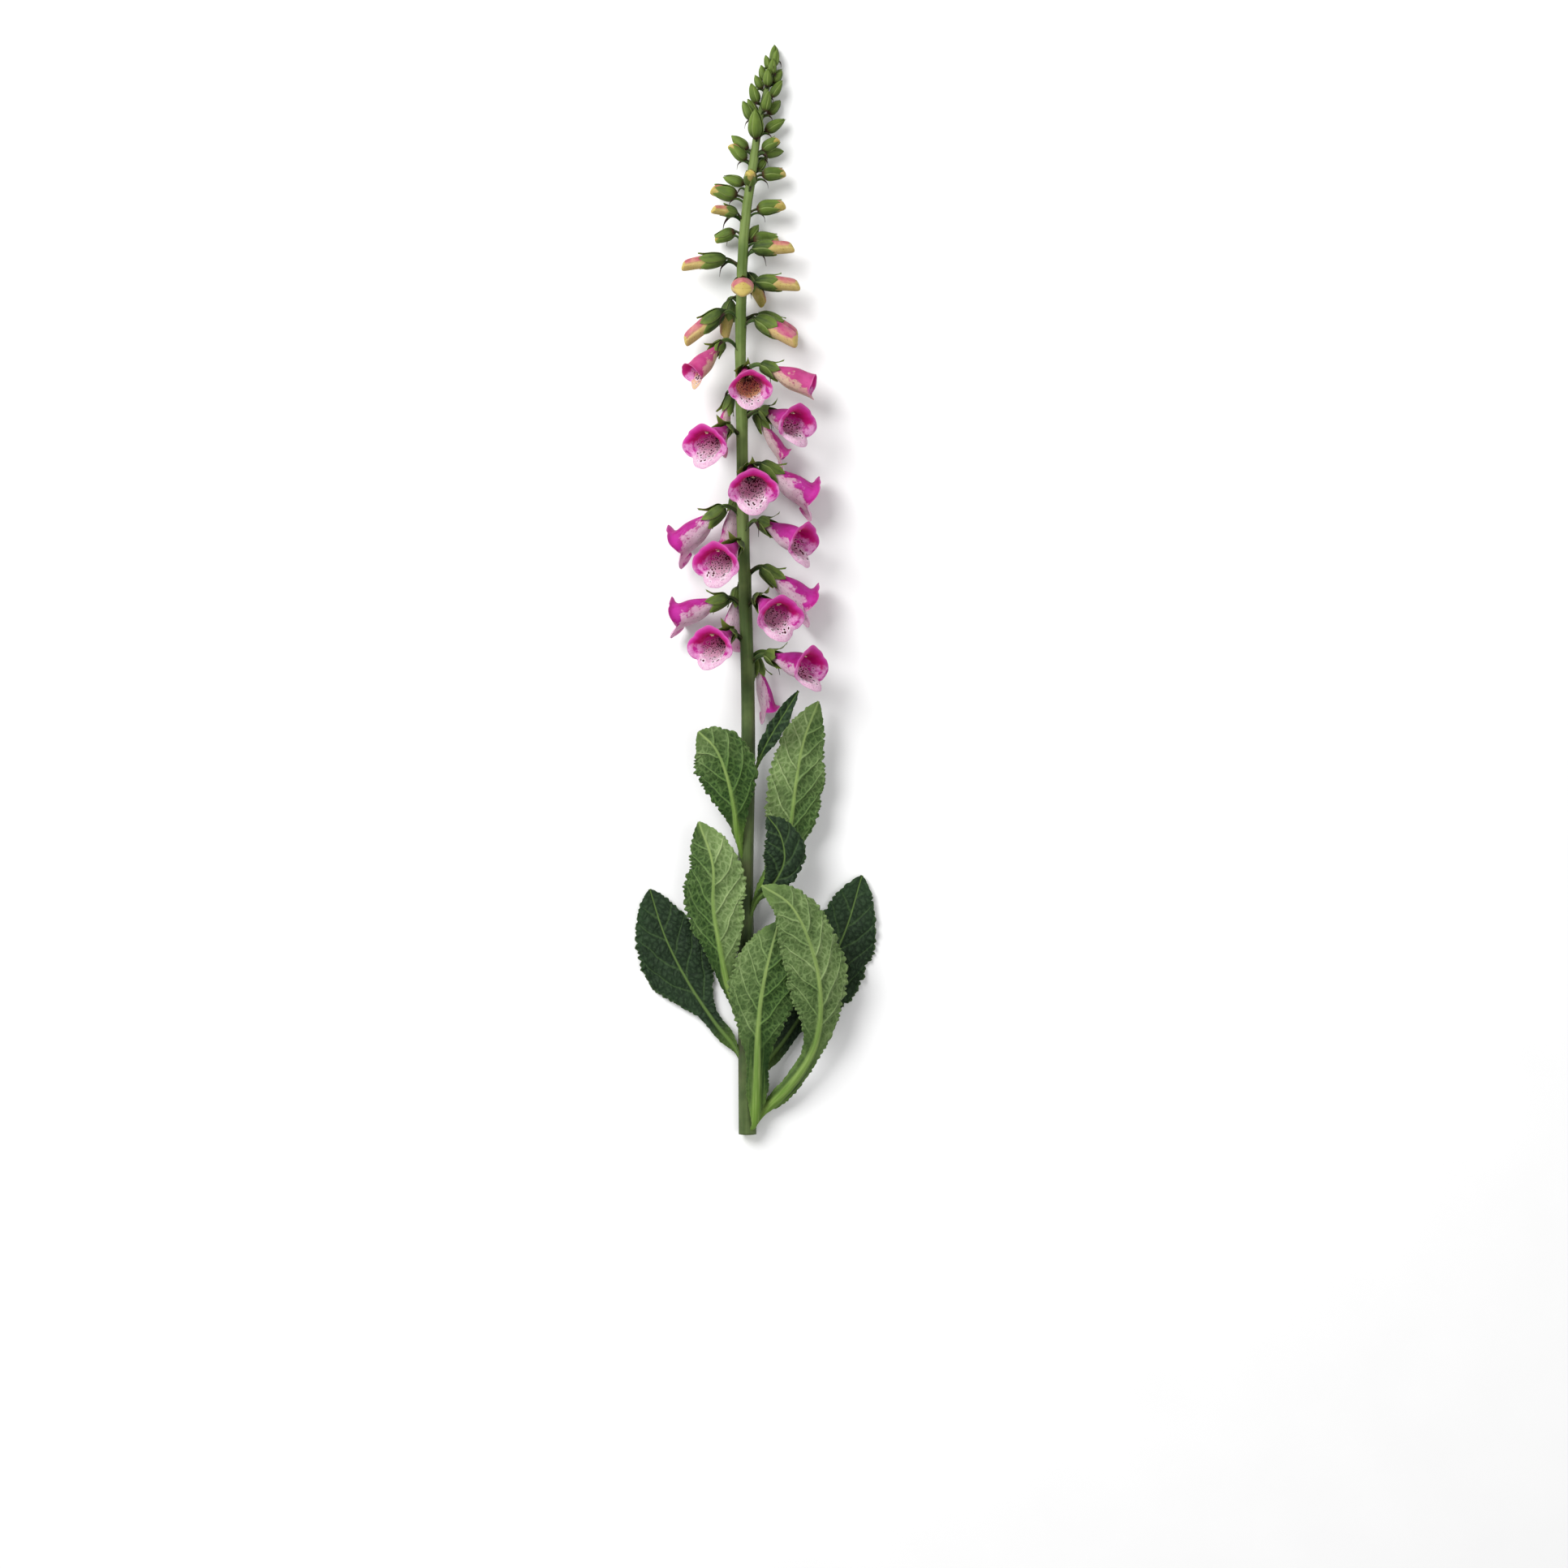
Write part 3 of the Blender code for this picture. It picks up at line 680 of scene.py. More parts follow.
def veins_group():
    """A leaf's veins, from coordinates in millimetres: across from the midrib, and along it.

    The input Vein counts the side veins; a side vein runs where its fraction is one half. The
    cross veins between them are the borders of random cells, a little wider across the side
    veins than along them, with a net of smaller cells inside.
    """
    tree, (at, vein, pitch, midrib, edge), leave = group_tree(
        "leaf_veins", ("Vector", "Vein", "Pitch", "Midrib", "Edge"),
        ("Ribs", "Net", "Middle", "Puff"),
    )
    across, up = tree.node("SeparateXYZ", {0: at}, "X", "Y")
    distance = abs(across)
    count = vein + (at.noise(8.0) - 0.5) * 0.20
    off_vein = abs(tree.math("FRACT", count) - 0.5) * pitch * 0.6
    width = 0.70 - edge * 0.35
    ribs = off_vein.step(width + 0.7, width * 0.2)
    tree.put(leave["Ribs"], ribs * edge.step(1.1, 0.7))

    second = at.noise(3.6, 3.0) - 0.5
    third = at.stretched(x=-1.0).noise(3.6, 3.0) - 0.5
    apart = count * pitch * 0.7
    onward = (up + distance) * 0.7
    side = tree.math("SIGN", across) * 9.0

    def to_border(wide, long, bend):
        """How far the nearest border of a net of cells is, each that wide and that long."""
        x = (apart + second * bend) * (1.0 / wide)
        y = (onward + third * bend) * (1.0 / long) + side
        cell = tree.node("CombineXYZ", {0: x, 1: y})
        return tree.node(
            "TexVoronoi", {"Vector": cell, "Scale": 1.0, "Randomness": 0.9}, "Distance",
            voronoi_dimensions="2D", feature="DISTANCE_TO_EDGE",
        )

    coarse, fine = to_border(6.6, 3.8, 3.2), to_border(2.5, 2.0, 2.0)
    strong = coarse.step(0.30, 0.0) * (0.45 + at.noise(6.0).step(0.3, 0.6) * 0.55)
    tree.put(leave["Net"], strong.peak(fine.step(0.38, 0.0) * 0.38))
    tree.put(leave["Puff"], coarse.step(0.0, 0.42) * 0.8 + fine.step(0.0, 0.45) * 0.25)
    tree.put(leave["Middle"], distance.step(midrib + 0.7, midrib * 0.45))


def cloud_group():
    """A soft irregular boundary: rises from 0 to 1 where value plus noise passes the middle."""
    tree, (at, value, middle, blur, size, rough), leave = group_tree(
        "cloud", ("Vector", "Value", "Middle", "Blur", "Size", "Roughness"), ("Mask",)
    )
    inputs = {"Vector": at, "Scale": 1.0 / size, "Detail": 3.0, "Roughness": 0.55}
    moved = value + rough * (tree.node("TexNoise", inputs) - 0.5)
    tree.put(leave["Mask"], moved.step(middle - blur, middle + blur))


def petal_finish():
    """Open bells: magenta above, pale and speckled below, spotted inside.

    Marks: bottom runs from 0 along the lower side to 1 along the upper; along from the calyx
    to the lips; inside is 1 on the inner face; youth turns the colours from full to young.
    Deep in the throat and under the hood the inner face is painted darker, partly as painted
    shade, and the rim gets a painted highlight.
    """
    finish = Finish("petal_magenta")
    at = finish.pattern()
    bottom, along, inside, youth = finish.marks("bottom", "along", "inside", "youth")
    slow = at.noise(9.0, 3.0).step(0.3, 0.7)
    quick = at.noise(2.2)

    # Outer face.
    full = slow.mix(rgb(146, 14, 106), rgb(170, 44, 138))
    young = slow.mix(rgb(162, 48, 102), rgb(182, 76, 122))
    magenta = youth.mix(full, young)
    pale = slow.mix(rgb(188, 152, 168), rgb(212, 182, 194))
    pale = (youth * 0.85).mix(pale, rgb(196, 168, 122))
    reach = bottom + along.step(0.0, 1.0) * 0.12 + along.step(0.74, 0.92) * 0.16
    upper = at.cloud(reach, middle=0.48, blur=0.04, size=9.0, rough=0.62)
    patches = at.stretched(0.7).cloud(
        reach * -1.0, middle=-0.58, blur=0.06, size=5.0, rough=0.85
    )
    flecks = at.stretched(0.8).cloud(reach, middle=0.55, blur=0.07, size=3.6, rough=1.0)
    fine, _ = at.stretched(0.6).specks(cell=1.7, radius=0.19, share=0.5)
    outer = painted(
        pale, (upper, magenta), (patches * 0.75, pale), (flecks * (1.0 - upper) * 0.7, magenta),
        (fine * bottom.step(0.62, 0.4) * 0.5, rgb(112, 52, 84)),
    )

    # Inner face: floor, sides and ceiling, painted darker deep in the throat and under the hood,
    # partly as painted shade.
    # The ceiling's deep magenta, painted darker away from the rim: partly its own colour, partly
    # painted shade under the hood.
    ceiling = along.step(0.90, 0.99).mix(rgb(150, 0, 80), rgb(176, 40, 132))
    ceiling = (youth * 0.8).mix(ceiling, rgb(166, 30, 90))
    # deep rises into the throat: the spots there grow and run together, and the floor and its
    # golden ground are painted darker, partly their own colour, partly painted shade.
    deep, aged = along.step(0.60, 0.22), youth.step(0.2, 0.7)
    golden = deep.mix(rgb(214, 154, 96), rgb(152, 100, 56))
    lips = quick.mix(rgb(192, 136, 168), rgb(224, 194, 208))
    lips = youth.step(0.65, 0.9).mix(lips, rgb(204, 168, 128))
    floor = painted(
        deep.mix(rgb(212, 160, 182), rgb(156, 104, 116)),
        (aged, golden), (along.step(0.70, 0.83), lips),
    )
    lobes = at.noise(3.6, 3.0).step(0.37, 0.57).mix(rgb(160, 30, 122), rgb(208, 146, 186))
    lobes = (slow * 0.25).mix(lobes, rgb(164, 50, 130))
    side = along.step(0.62, 0.80).mix(rgb(164, 40, 122), lobes)
    opening = bottom + along.step(0.60, 0.84) * 0.10
    to_side = at.cloud(opening, middle=0.40, blur=0.04, size=4.5, rough=0.36)
    to_top = at.cloud(opening, middle=0.63, blur=0.05, size=6.0, rough=0.32)

    # Spots: small ones that run together deep inside, larger ones with halos on the lower lip.
    throat = along.step(0.88, 0.72) * bottom.step(0.58, 0.44)
    small, small_halo = at.stretched(0.75).specks(
        cell=1.75, radius=0.29 + deep * 0.18, share=0.88
    )
    freckles, _ = at.specks(cell=0.95, radius=0.24, share=0.7)
    freckled = along.step(0.70, 0.84) * bottom.step(0.62, 0.4) * 0.5
    large, large_halo = at.specks(cell=3.3, radius=0.24, share=0.85)
    on_lip = along.step(0.70, 0.77) * along.step(0.94, 0.89) * bottom.step(0.36, 0.28)
    rings = aged.mix(rgb(230, 200, 212), rgb(230, 186, 134))
    inner = painted(
        floor, (to_side, side), (to_top, ceiling), (small_halo * throat * 0.5, rings),
        (freckles * freckled, rgb(150, 50, 112)),
        (large_halo * on_lip * 0.8, rgb(232, 212, 222)),
        ((small * throat).peak(large * on_lip), rgb(54, 6, 30)),
    )
    # A painted highlight: a lighter, pinker line along the very edge of the lips.
    rim = along.step(0.965, 0.998)
    threads = at.stretched(0.12).noise(0.8)
    return finish.done(
        painted(outer, (inside, inner), (rim * 0.26, rgb(206, 130, 180))), 0.48 + slow * 0.15,
        threads * 0.5 + quick * 0.4, depth=0.35, specular=0.14, sheen=(0.02, 0.5), flesh=0.35,
        bleed=(4.0, 1.2, 2.4),
    )


def bud_finish():
    """Coloured buds: rose above, cream yellow below, paler and greener the younger they are.

    Marks: bottom, along and youth as on the bells; face is 1 on the blunt end.
    """
    finish = Finish("bud_pink")
    at = finish.pattern()
    bottom, along, youth, face = finish.marks("bottom", "along", "youth", "face")
    slow = at.noise(7.0, 3.0).step(0.3, 0.7)
    rose = slow.mix(
        youth.mix(rgb(166, 44, 112), rgb(160, 92, 76)),
        youth.mix(rgb(182, 88, 130), rgb(176, 122, 96)),
    )
    cream = youth.mix(rgb(190, 162, 116), rgb(150, 138, 60))
    cream = (slow * 0.7).mix(cream, rgb(190, 168, 112))
    upper = at.stretched(0.45).cloud(
        bottom, middle=0.46 + youth * 0.12, blur=0.09, size=4.5, rough=0.5
    )
    speckles, _ = at.specks(cell=2.2, radius=0.15, share=0.5)
    low = bottom.step(0.6, 0.35).peak(face)
    colour = painted(
        cream, (upper * (1.0 - face) * (1.0 - slow * 0.22), rose),
        (face * 0.6, rgb(178, 160, 82)),
        (speckles * low * along.step(0.35, 0.6) * 0.55, rgb(110, 62, 40)),
        (along.step(0.42, 0.1) * 0.6, rgb(140, 142, 80)),
    )
    threads = at.stretched(0.15).noise(1.0)
    return finish.done(
        colour, 0.48 + slow * 0.15, threads * (1.0 - face), depth=0.2, specular=0.15,
        sheen=(0.02, 0.5), flesh=0.20, bleed=(3.0, 1.6, 1.0),
    )


def green_finish(name, light, dark, margin, flush):
    """Green skin of sepals, stalks and bracts.

    Marks: edge runs from the middle of a blade to its margin, along from base to tip, flush
    is how far the purple brown has come through, and paler how fresh and yellowish it is; on a
    sepal's inner face paler is 1, painted light that makes it paler than its back.
    """
    finish = Finish(name)
    place = finish.place()
    edge, along, brown, paler = finish.marks("edge", "along", "flush", "paler")
    slow, quick = place.noise(14.0), place.noise(3.0)
    lines = finish.pattern().stretched(0.06).noise(1.2)
    # Darker towards the base and the middle, paler towards the tip and the margin: partly the
    # skin's own colour, partly painted shade at the base and painted light at the tips.
    share = slow * 0.7 + quick * 0.18 + lines * 0.30 + along * 0.45 + edge * 0.18 - 0.45
    colour = painted(
        share.step(0.10, 0.80).mix(dark, light), (paler * 0.7, rgb(112, 138, 50)),
        (edge.step(0.80, 1.0) * 0.6, margin), ((brown + slow * 0.3).step(0.3, 0.95), flush),
    )
    return finish.done(
        colour, 0.52 + lines * 0.15, lines * 0.5 + quick * 0.3, depth=0.22, specular=0.15,
        sheen=(0.02, 0.5), flesh=0.08,
    )


def stem_finish():
    """The stem: green with fine lengthwise streaks, duller and purplish towards the cut.

    Marks: down rises from the tip to the cut end, cut is 1 on the cut face, and ring runs
    from its middle to its skin.
    """
    finish = Finish("stem_green")
    at, place = finish.pattern(), finish.place()
    down, cut, ring = finish.marks("down", "cut", "ring")
    slow = place.noise(26.0, 3.0).step(0.3, 0.7)
    lines = at.stretched(0.02).noise(2.2, 3.0)
    share = (slow * 0.5 + lines * 0.6 - 0.1).step(0.1, 0.8)
    freckles, _ = at.stretched(0.35).specks(cell=3.0, radius=0.12, share=0.3)
    pith = ring.step(0.15, 0.7).mix(rgb(206, 208, 172), rgb(166, 182, 118))
    pith = ring.step(0.72, 0.84).mix(pith, rgb(92, 120, 56))
    colour = painted(
        share.mix(rgb(76, 96, 42), rgb(108, 126, 68)),
        (down, share.mix(rgb(50, 68, 34), rgb(88, 104, 60))),
        (place.noise(30.0).step(0.5, 0.75) * down * 0.35, rgb(76, 56, 52)),
        (freckles * 0.3, rgb(74, 56, 44)), (cut, pith),
    )
    return finish.done(
        colour, 0.5 + lines * 0.15, lines, depth=0.35, specular=0.16, sheen=(0.03, 0.5),
        flesh=0.05,
    )


def leaf_finish():
    """Leaves: dark and puckered above, grey green with raised pale veins below.

    Marks: upper is 1 on the leaf's upper side; edge runs from the midrib to the margin and
    along from base to tip; rib is the midrib's half width and pitch the distance between side
    veins, both in millimetres; vein counts the side veins; shade is painted light and shade,
    how much paler or darker the leaf is painted here; blade rises from 0 on the winged stalk
    to 1.
    """
    finish = Finish("leaf_skin")
    at, place = finish.pattern(), finish.place()
    upper, edge, rib, along, vein, pitch, shade, blade_share = finish.marks(
        "upper", "edge", "rib", "along", "vein", "pitch", "shade", "blade"
    )
    inputs = {
        "Vector": at, "Vein": vein, "Pitch": pitch, "Midrib": rib * (1.0 - upper * 0.62),
        "Edge": edge,
    }
    ribs, net, midrib, puff = finish.group("leaf_veins", inputs, "Ribs", "Net", "Middle", "Puff")
    ribs = ribs * blade_share
    net = net * (0.15 + blade_share * 0.85)
    broad = place.noise(34.0).step(0.36, 0.64)
    slow = place.noise(9.0, 3.0).step(0.3, 0.7)
    quick = at.noise(1.4)
    # tone: random paler and darker patches, paler towards the tip and the margin, and the painted
    # light and shade of the shade mark.
    tone = broad * 0.22 + slow * 0.24 + quick * 0.15 + along * 0.22 + edge * 0.12 + shade * 0.5
    tone = (tone - 0.07).step(-0.15, 1.05)

    streaks = at.stretched(0.05).noise(1.6)
    below = painted(
        tone.mix(rgb(24, 48, 14), rgb(98, 122, 68)),
        (streaks.step(0.45, 0.62) * (0.6 - blade_share) * 0.5, rgb(100, 128, 62)),
        (ribs.peak(net * 0.62) * 0.85, tone.mix(rgb(92, 122, 62), rgb(164, 182, 128))),
        (midrib * 0.9, painted(
            along.mix(rgb(96, 130, 48), rgb(128, 148, 90)),
            (streaks.step(0.42, 0.62) * 0.45, rgb(148, 168, 98)),
        )),
    )
    # Above: a painted highlight, lighter and greyer, on the raised domes between the small veins.
    above = painted(
        tone.mix(rgb(20, 35, 20), rgb(44, 66, 40)), (puff * quick * 0.7, rgb(66, 88, 60)),
        (ribs * 0.35, rgb(78, 104, 60)), (midrib * 0.7, rgb(98, 124, 64)),
    )
    colour = painted(
        below, (upper, above), (edge.step(0.95, 1.0) * 0.25, rgb(110, 130, 80)),
        (along.step(0.2, 0.0) * 0.4, rgb(100, 130, 52)),
    )
    raised = ribs * 0.8 + net * 0.14 - puff * 0.22
    sunk = puff * 0.65 - ribs * 0.6
    height = raised * (1.0 - upper) + sunk * upper + quick * 0.3 + at.noise(3.6) * 0.3
    return finish.done(
        colour, 0.62 - upper * 0.04 + slow * 0.1, height * (1.0 - midrib), depth=0.55,
        specular=0.12, sheen=(0.03, 0.4), flesh=0.05, bleed=(1.0, 1.8, 0.6),
    )


def stamen_finish():
    """Cream threads and pollen sacks."""
    finish = Finish("stamen_cream")
    grain = finish.place().noise(0.6)
    cream = grain.mix(rgb(226, 206, 150), rgb(244, 236, 206))
    return finish.done(cream, 0.45 + grain * 0.2, grain, depth=0.2)


def table_finish():
    """A pale matt table top with the faintest mottling."""
    finish = Finish("pale_table")
    grain = finish.place().noise(60.0, 4.0)
    return finish.done(grain.mix((0.86, 0.86, 0.86, 1), (0.9, 0.9, 0.9, 1)), 0.8)


# Flowers.


class Seat:
    """Where a flower sits: its stalk's start, its base, and the way its stalk sets out.

    The columns of its axes run across, towards its upper side, and towards its mouth.
    """

    def __init__(self, row, lower=0):
        height, self.side, out, turn, droop = row[:5]
        lean = math.radians(droop)
        drop = lower * math.cos(lean) - max(0.0, STALK_ARCH * math.sin(lean) ** 3)
        centre, radius = stem_at(height - drop)
        aside, facing = outward(self.side), outward(turn)
        self.start = centre + aside * radius
        self.base = stem_at(height)[0] + aside * out
        self.leave = unit(aside + STALK_RISE * math.cos(lean) * UP_STEM)
        along = math.cos(lean) * facing - math.sin(lean) * UP_STEM
        upper = math.cos(lean) * UP_STEM + math.sin(lean) * facing
        self.axes = np.column_stack([np.cross(upper, along), upper, along])

    def place(self, points):
        return points @ self.axes.T + self.base


def seam(angles):
    """The angles with the far side of the seam, turned to 0 at the lower side."""
    return np.append(angles, 2 * math.pi)[None] - math.pi


def bell_tube(v, angles):
    """The tube's half width: a narrow base that swells, wider than it is tall."""
    swelling = BELL_BELLY_RADIUS * smoothstep((v - 0.08) / 0.62)
    return (BELL_BASE_RADIUS + swelling + 1.4 * v) * (1 - BELL_FLATNESS * v * np.cos(angles) ** 2)


def bell_sheet(v, angles, opened, seed):
    """Points of a bell's outer face, in the flower's own frame.

    The tube turns outwards into five lobes near the mouth: the lower lip reaches furthest, the
    upper one is a short hood that curls back to a point at its very edge, and the round side
    lobes stand out beyond it. v is a column of shares of the length and angles a row, with 0
    on the upper side.
    """
    from_bottom = np.abs(angles - math.pi)
    from_top = math.pi - from_bottom
    lip = np.where(np.cos(angles) > 0, UPPER_FLARE, LOWER_FLARE)
    reach = lip + (SIDE_FLARE - lip) * np.sin(angles) ** 2
    curl = 2.4 + 1.2 * np.clip(np.cos(angles), 0.0, 1.0) ** 2
    lobe = bump(from_bottom, 1.52, 0.42)
    notch = bump(from_bottom, 0.93, 0.13)
    corner = bump(from_top, 0.93, 0.13)
    edge = smoothstep((v - 0.80) / 0.20) * opened
    wavy = ripple(angles, seed, (3, 5, 8, 11))
    radius = bell_tube(v, angles) + reach * opened * np.clip((v - 0.72) / 0.28, 0, 1) ** curl
    radius = radius + edge * (1.2 * lobe - 1.1 * notch - 0.45 * corner + 0.35 * wavy)
    radius = radius + opened * np.clip((v - 0.82) / 0.18, 0, 1) ** 2 * (
        1.2 * bump(from_top, 0.0, 0.6) + 1.4 * bump(from_top, 0.0, 0.25)
    )
    crease = bump(from_top, 1.0, 0.14) * smoothstep((v - 0.55) / 0.2)
    belly = 0.6 * bump(v, 0.5, 0.2) * bump(from_bottom, 0.0, 0.9)
    furrow = 0.35 * bump(from_bottom, 0.42, 0.14) * smoothstep((v - 0.3) / 0.3) * (1 - edge)
    radius = radius + belly - furrow - 0.55 * crease * opened

    lower = LOWER_LIP * np.exp(-((from_bottom / 0.80) ** 3))
    sides = SIDE_LIP * bump(from_bottom, 1.6, 0.4)
    upper = UPPER_LIP * bump(from_top, 0.0, 0.6)
    lips = (lower + sides - upper) * (0.4 + 0.6 * opened)
    end = np.clip((v - 0.84) / 0.16, 0.0, 1.0)
    share = v - 0.08 * opened * end**2 + lips * smoothstep((v - 0.55) / 0.45)
    uneven = ripple(angles, seed + 1, (2, 4, 7))
    height = BELL_SEAT + BELL_LENGTH * share - edge * (
        1.5 * notch + 0.4 * corner - 0.6 * bump(from_top, 0, 0.3) - 0.45 * uneven
    )
    droop = -1.8 * edge * bump(from_bottom, 0.0, 0.7) * smoothstep((v - 0.88) / 0.12)
    return grid_of(radius * np.sin(angles), radius * np.cos(angles) + droop, height)


def bell(name, row, seed, finish):
    """One open flower: its outer face, the turned rim and the inner face, as one skin."""
    size, opened, pressed, youth = row[5:]
    angles = around(BELL_SIDES)
    v = 1 - (1 - np.linspace(0.0, 1.0, BELL_ROWS)[:, None]) ** 1.35
    outer = bell_sheet(v, angles, opened, seed) * size * np.array([1.0, pressed, 1.0])
    sideways = np.roll(outer, -1, axis=1) - np.roll(outer, 1, axis=1)
    normal = unit(np.cross(np.gradient(outer, axis=0), sideways))
    wall = PETAL_WALL - PETAL_THINS * v[..., None]
    rows = np.concatenate([outer, (outer - normal * wall)[:1:-1]])
    share = np.concatenate([v, v[:1:-1]])
    uv = grid_of(
        seam(angles) * BELL_GIRTH * size + BELL_PATCH[0] * seed,
        share * BELL_LENGTH * size + BELL_PATCH[1] * seed,
    )
    skin = Skin()
    skin.body(
        Seat(row).place(rows), uv, bottom=np.abs(angles - math.pi) / math.pi, along=share,
        inside=np.arange(len(rows))[:, None] >= len(outer), youth=youth,
    )
    skin.build(f"bell_{name}", "petal_magenta", finish, f"bell_{name}")


def sepal(skin, seat, turn, radius, height, half, flatten, flush, fade=0.0, pale=0.0):
    """One sepal, wrapped round the flower's axis.

    radius, height and half width are read from the base to the tip; the blade bends round the
    axis, one margin lies a little further out than the other, and its back is lightly keeled.
    Its inner face is painted paler than its back, as painted light, and its flush fades
    towards the tip.
    """
    t = np.linspace(0.0, 1.0, SEPAL_ROWS)[:, None]
    r, h, w = (smooth_path(np.array(k)[:, None], SEPAL_ROWS) for k in (radius, height, half))
    x = there_and_back(np.linspace(-1.0, 1.0, SEPAL_COLUMNS)[None])
    face = np.repeat([0.5, -0.5], SEPAL_COLUMNS)[None]
    angle = turn + x * w / np.maximum(r, 1.2)
    lift = 0.085 * r.max() * x + 0.18 * bump(x, 0.0, 0.3) * (1 - t)
    out = r + lift + face * SEPAL_WALL * (1.05 - x**2) * (1 - 0.6 * t)
    rows = grid_of(out * np.sin(angle), out * np.cos(angle) * flatten, h)
    # Painted light: the inner face gets paler 1; the back gets pale, a green bud's fresher colour.
    skin.body(
        seat.place(rows), grid_of(closed(x * w) + SEPAL_PATCH * turn, h), edge=np.abs(x),
        along=t, flush=flush * np.exp(-fade * t), paler=np.where(face > 0, pale, 1.0),
    )


def stalk(skin, seat, radius, short=0.0):
    """A thin arching stalk that swells where it leaves the stem and under the flower.

    It ends that little short of the flower's base.
    """
    end = seat.base - seat.axes[:, 2] * short
    root = seat.start - outward(seat.side) * STALK_ROOT
    path = arch(root, end, seat.axes, seat.leave, STALK_ROWS)
    t = np.linspace(0.0, 1.0, STALK_ROWS)[:, None]
    thick = radius * (1 + 1.3 * np.exp(-t * 7) + 1.1 * np.exp(-(1 - t) * 9))
    rows = tube(path, thick, STALK_SIDES, seat.axes[:, 0])
    uv = tube_uv(path, STALK_SIDES, STALK_GIRTH)
    skin.body(rows, uv, edge=0.0, along=0.0, flush=0.48 - 0.2 * t)


def calyx(name, row, seed, finish):
    """The stalk and the five sepals that hold a bell.

    The uppermost sepal is the narrowest, and its drawn-out tip stands away from the bell. On
    a flower that faces away from the table, the three upper ones spread into a crown.
    """
    size, _, pressed = row[5:8]
    seat = Seat(row, 5)
    random = np.random.default_rng(seed)
    skin = Skin()
    stalk(skin, seat, STALK_RADIUS * size, size)
    facing = max(0.0, math.sin(math.radians(row[3]))) ** 2
    for k in range(5):
        top = k == 0
        spread = random.uniform(-0.4, 1.0) + (3.2 * facing if k in (0, 1, 4) else 0.0)
        rise = SEPAL_RISE * random.uniform(0.95, 1.12) * (0.92 if top else 1.0)
        tip = (10.8 if top else 7.0) + spread
        radius = np.array([1.3, 4.4, 5.6, (7.0 if top else 6.3) + 0.25 * spread, tip]) * size
        height = np.array([-1.2, 0.9, 0.32 * rise, 0.68 * rise, rise]) * size
        half = np.array([1.5, 4.1, 5.4, 3.9, 0.12]) * size * (0.66 if top else 1.0)
        turn = FIFTH * k + random.uniform(-0.08, 0.08)
        sepal(skin, seat, turn, radius, height, half, (1 + pressed) / 2, 0.08)
    skin.build(f"calyx_{name}", "calyx_green", finish, f"calyx_{name}")


def petal_tube(skin, seat, rows, angles, share, uv, cap, face, youth):
    """Adds a closed bud's petals, whose end is a nearly flat cap.

    cap is the share of the length at which it starts and its patch of the pattern, which runs
    straight across it instead of closing to a point.
    """
    first, patch = cap
    uv = np.where(share[..., None] > first, closed(rows)[..., :2] + patch, uv)
    bottom = np.abs(angles - math.pi) / math.pi
    skin.body(seat.place(rows), uv, bottom=bottom, along=share, youth=youth, face=face)


def folded_lip(angles, share, outness, start, blur, reach):
    """1 on the blunt end of a bud, where the lower lip is folded up over the mouth.

    outness is how far out a point is, in shares of the bud's half width.
    """
    lip = reach - outness * (1 + 0.35 * np.cos(angles))
    return smoothstep((share - start) / blur) * smoothstep(lip / 0.12)


def bud(name, row, seed, petal, green):
    """A coloured bud: folded petals with a blunt oblique end, in five broad sepals."""
    length, youth, girth, wide = row[5:9]
    seat = Seat(row, 5)
    # Half width in millimetres and share of the length, from the base to the blunt end.
    line = smooth_path((
        (2.2, 0.0), (4.6, 0.10), (5.7, 0.28), (5.9, 0.45), (5.6, 0.62), (5.1, 0.80),
        (4.6, 0.91), (3.8, 0.965), (2.5, 0.99), (1.2, 0.997), (0.15, 1.0),
    ), BUD_ROWS)
    angles = around(BUD_SIDES)
    out, share = line[:, :1], line[:, 1:]
    near_end = smoothstep((share - 0.55) / 0.4)
    from_bottom = np.abs(angles - math.pi)
    ridges = 0.07 * np.cos(4 * angles - 0.3) + 0.03 * np.cos(2 * angles)
    radius = out * girth * (1 + near_end * ridges)
    radius = radius * (1 + (wide - 1) * smoothstep((share - 0.3) / 0.3))
    fold = bump(from_bottom, 1.55, 0.15) * smoothstep((share - 0.4) / 0.4)
    radius = radius - 0.7 * fold * np.minimum(1.0, radius / 4)
    slant = (-2.6 * np.cos(angles) - 1.1 * bump(from_bottom, 1.5, 0.5)) * out / 6.0
    bend = -0.03 * length * share**2
    rows = grid_of(
        radius * np.sin(angles),
        radius * np.cos(angles) * (0.92 - 0.3 * (wide - 1)) + bend,
        share * length + slant * near_end * girth,
    )
    skin = Skin()
    patch = BUD_PATCH * seed
    uv = grid_of(seam(angles) * BUD_GIRTH + patch, share * length)
    face = folded_lip(angles, share, out / 6.0, start=0.93, blur=0.03, reach=0.86)
    petal_tube(skin, seat, rows, angles, share, uv, (0.955, patch), face, youth)
    skin.build(f"bud_{name}", "bud_pink", petal, f"bud_{name}")

    random = np.random.default_rng(seed)
    skin = Skin()
    stalk(skin, seat, STALK_RADIUS * 0.9)
    for k in range(5):
        top = k == 0
        rise = length * random.uniform(0.50, 0.60) / wide
        loose = random.uniform(0, 0.5) + (0.9 if top else 0.0)
        radius = np.array([1.6, 4.9, 6.4, 6.6, 6.3 + loose]) * girth
        height = np.array([-1.0, 0.08 * length, 0.45 * rise, 0.76 * rise, rise])
        half = np.array([1.5, 4.0, 5.3, 4.1, 0.15]) * girth * (0.72 if top else 1.0)
        turn = FIFTH * k + random.uniform(-0.08, 0.08)
        sepal(skin, seat, turn, radius, height, half, 0.96, 0.06)
    skin.build(f"bud_sepals_{name}", "calyx_green", green)


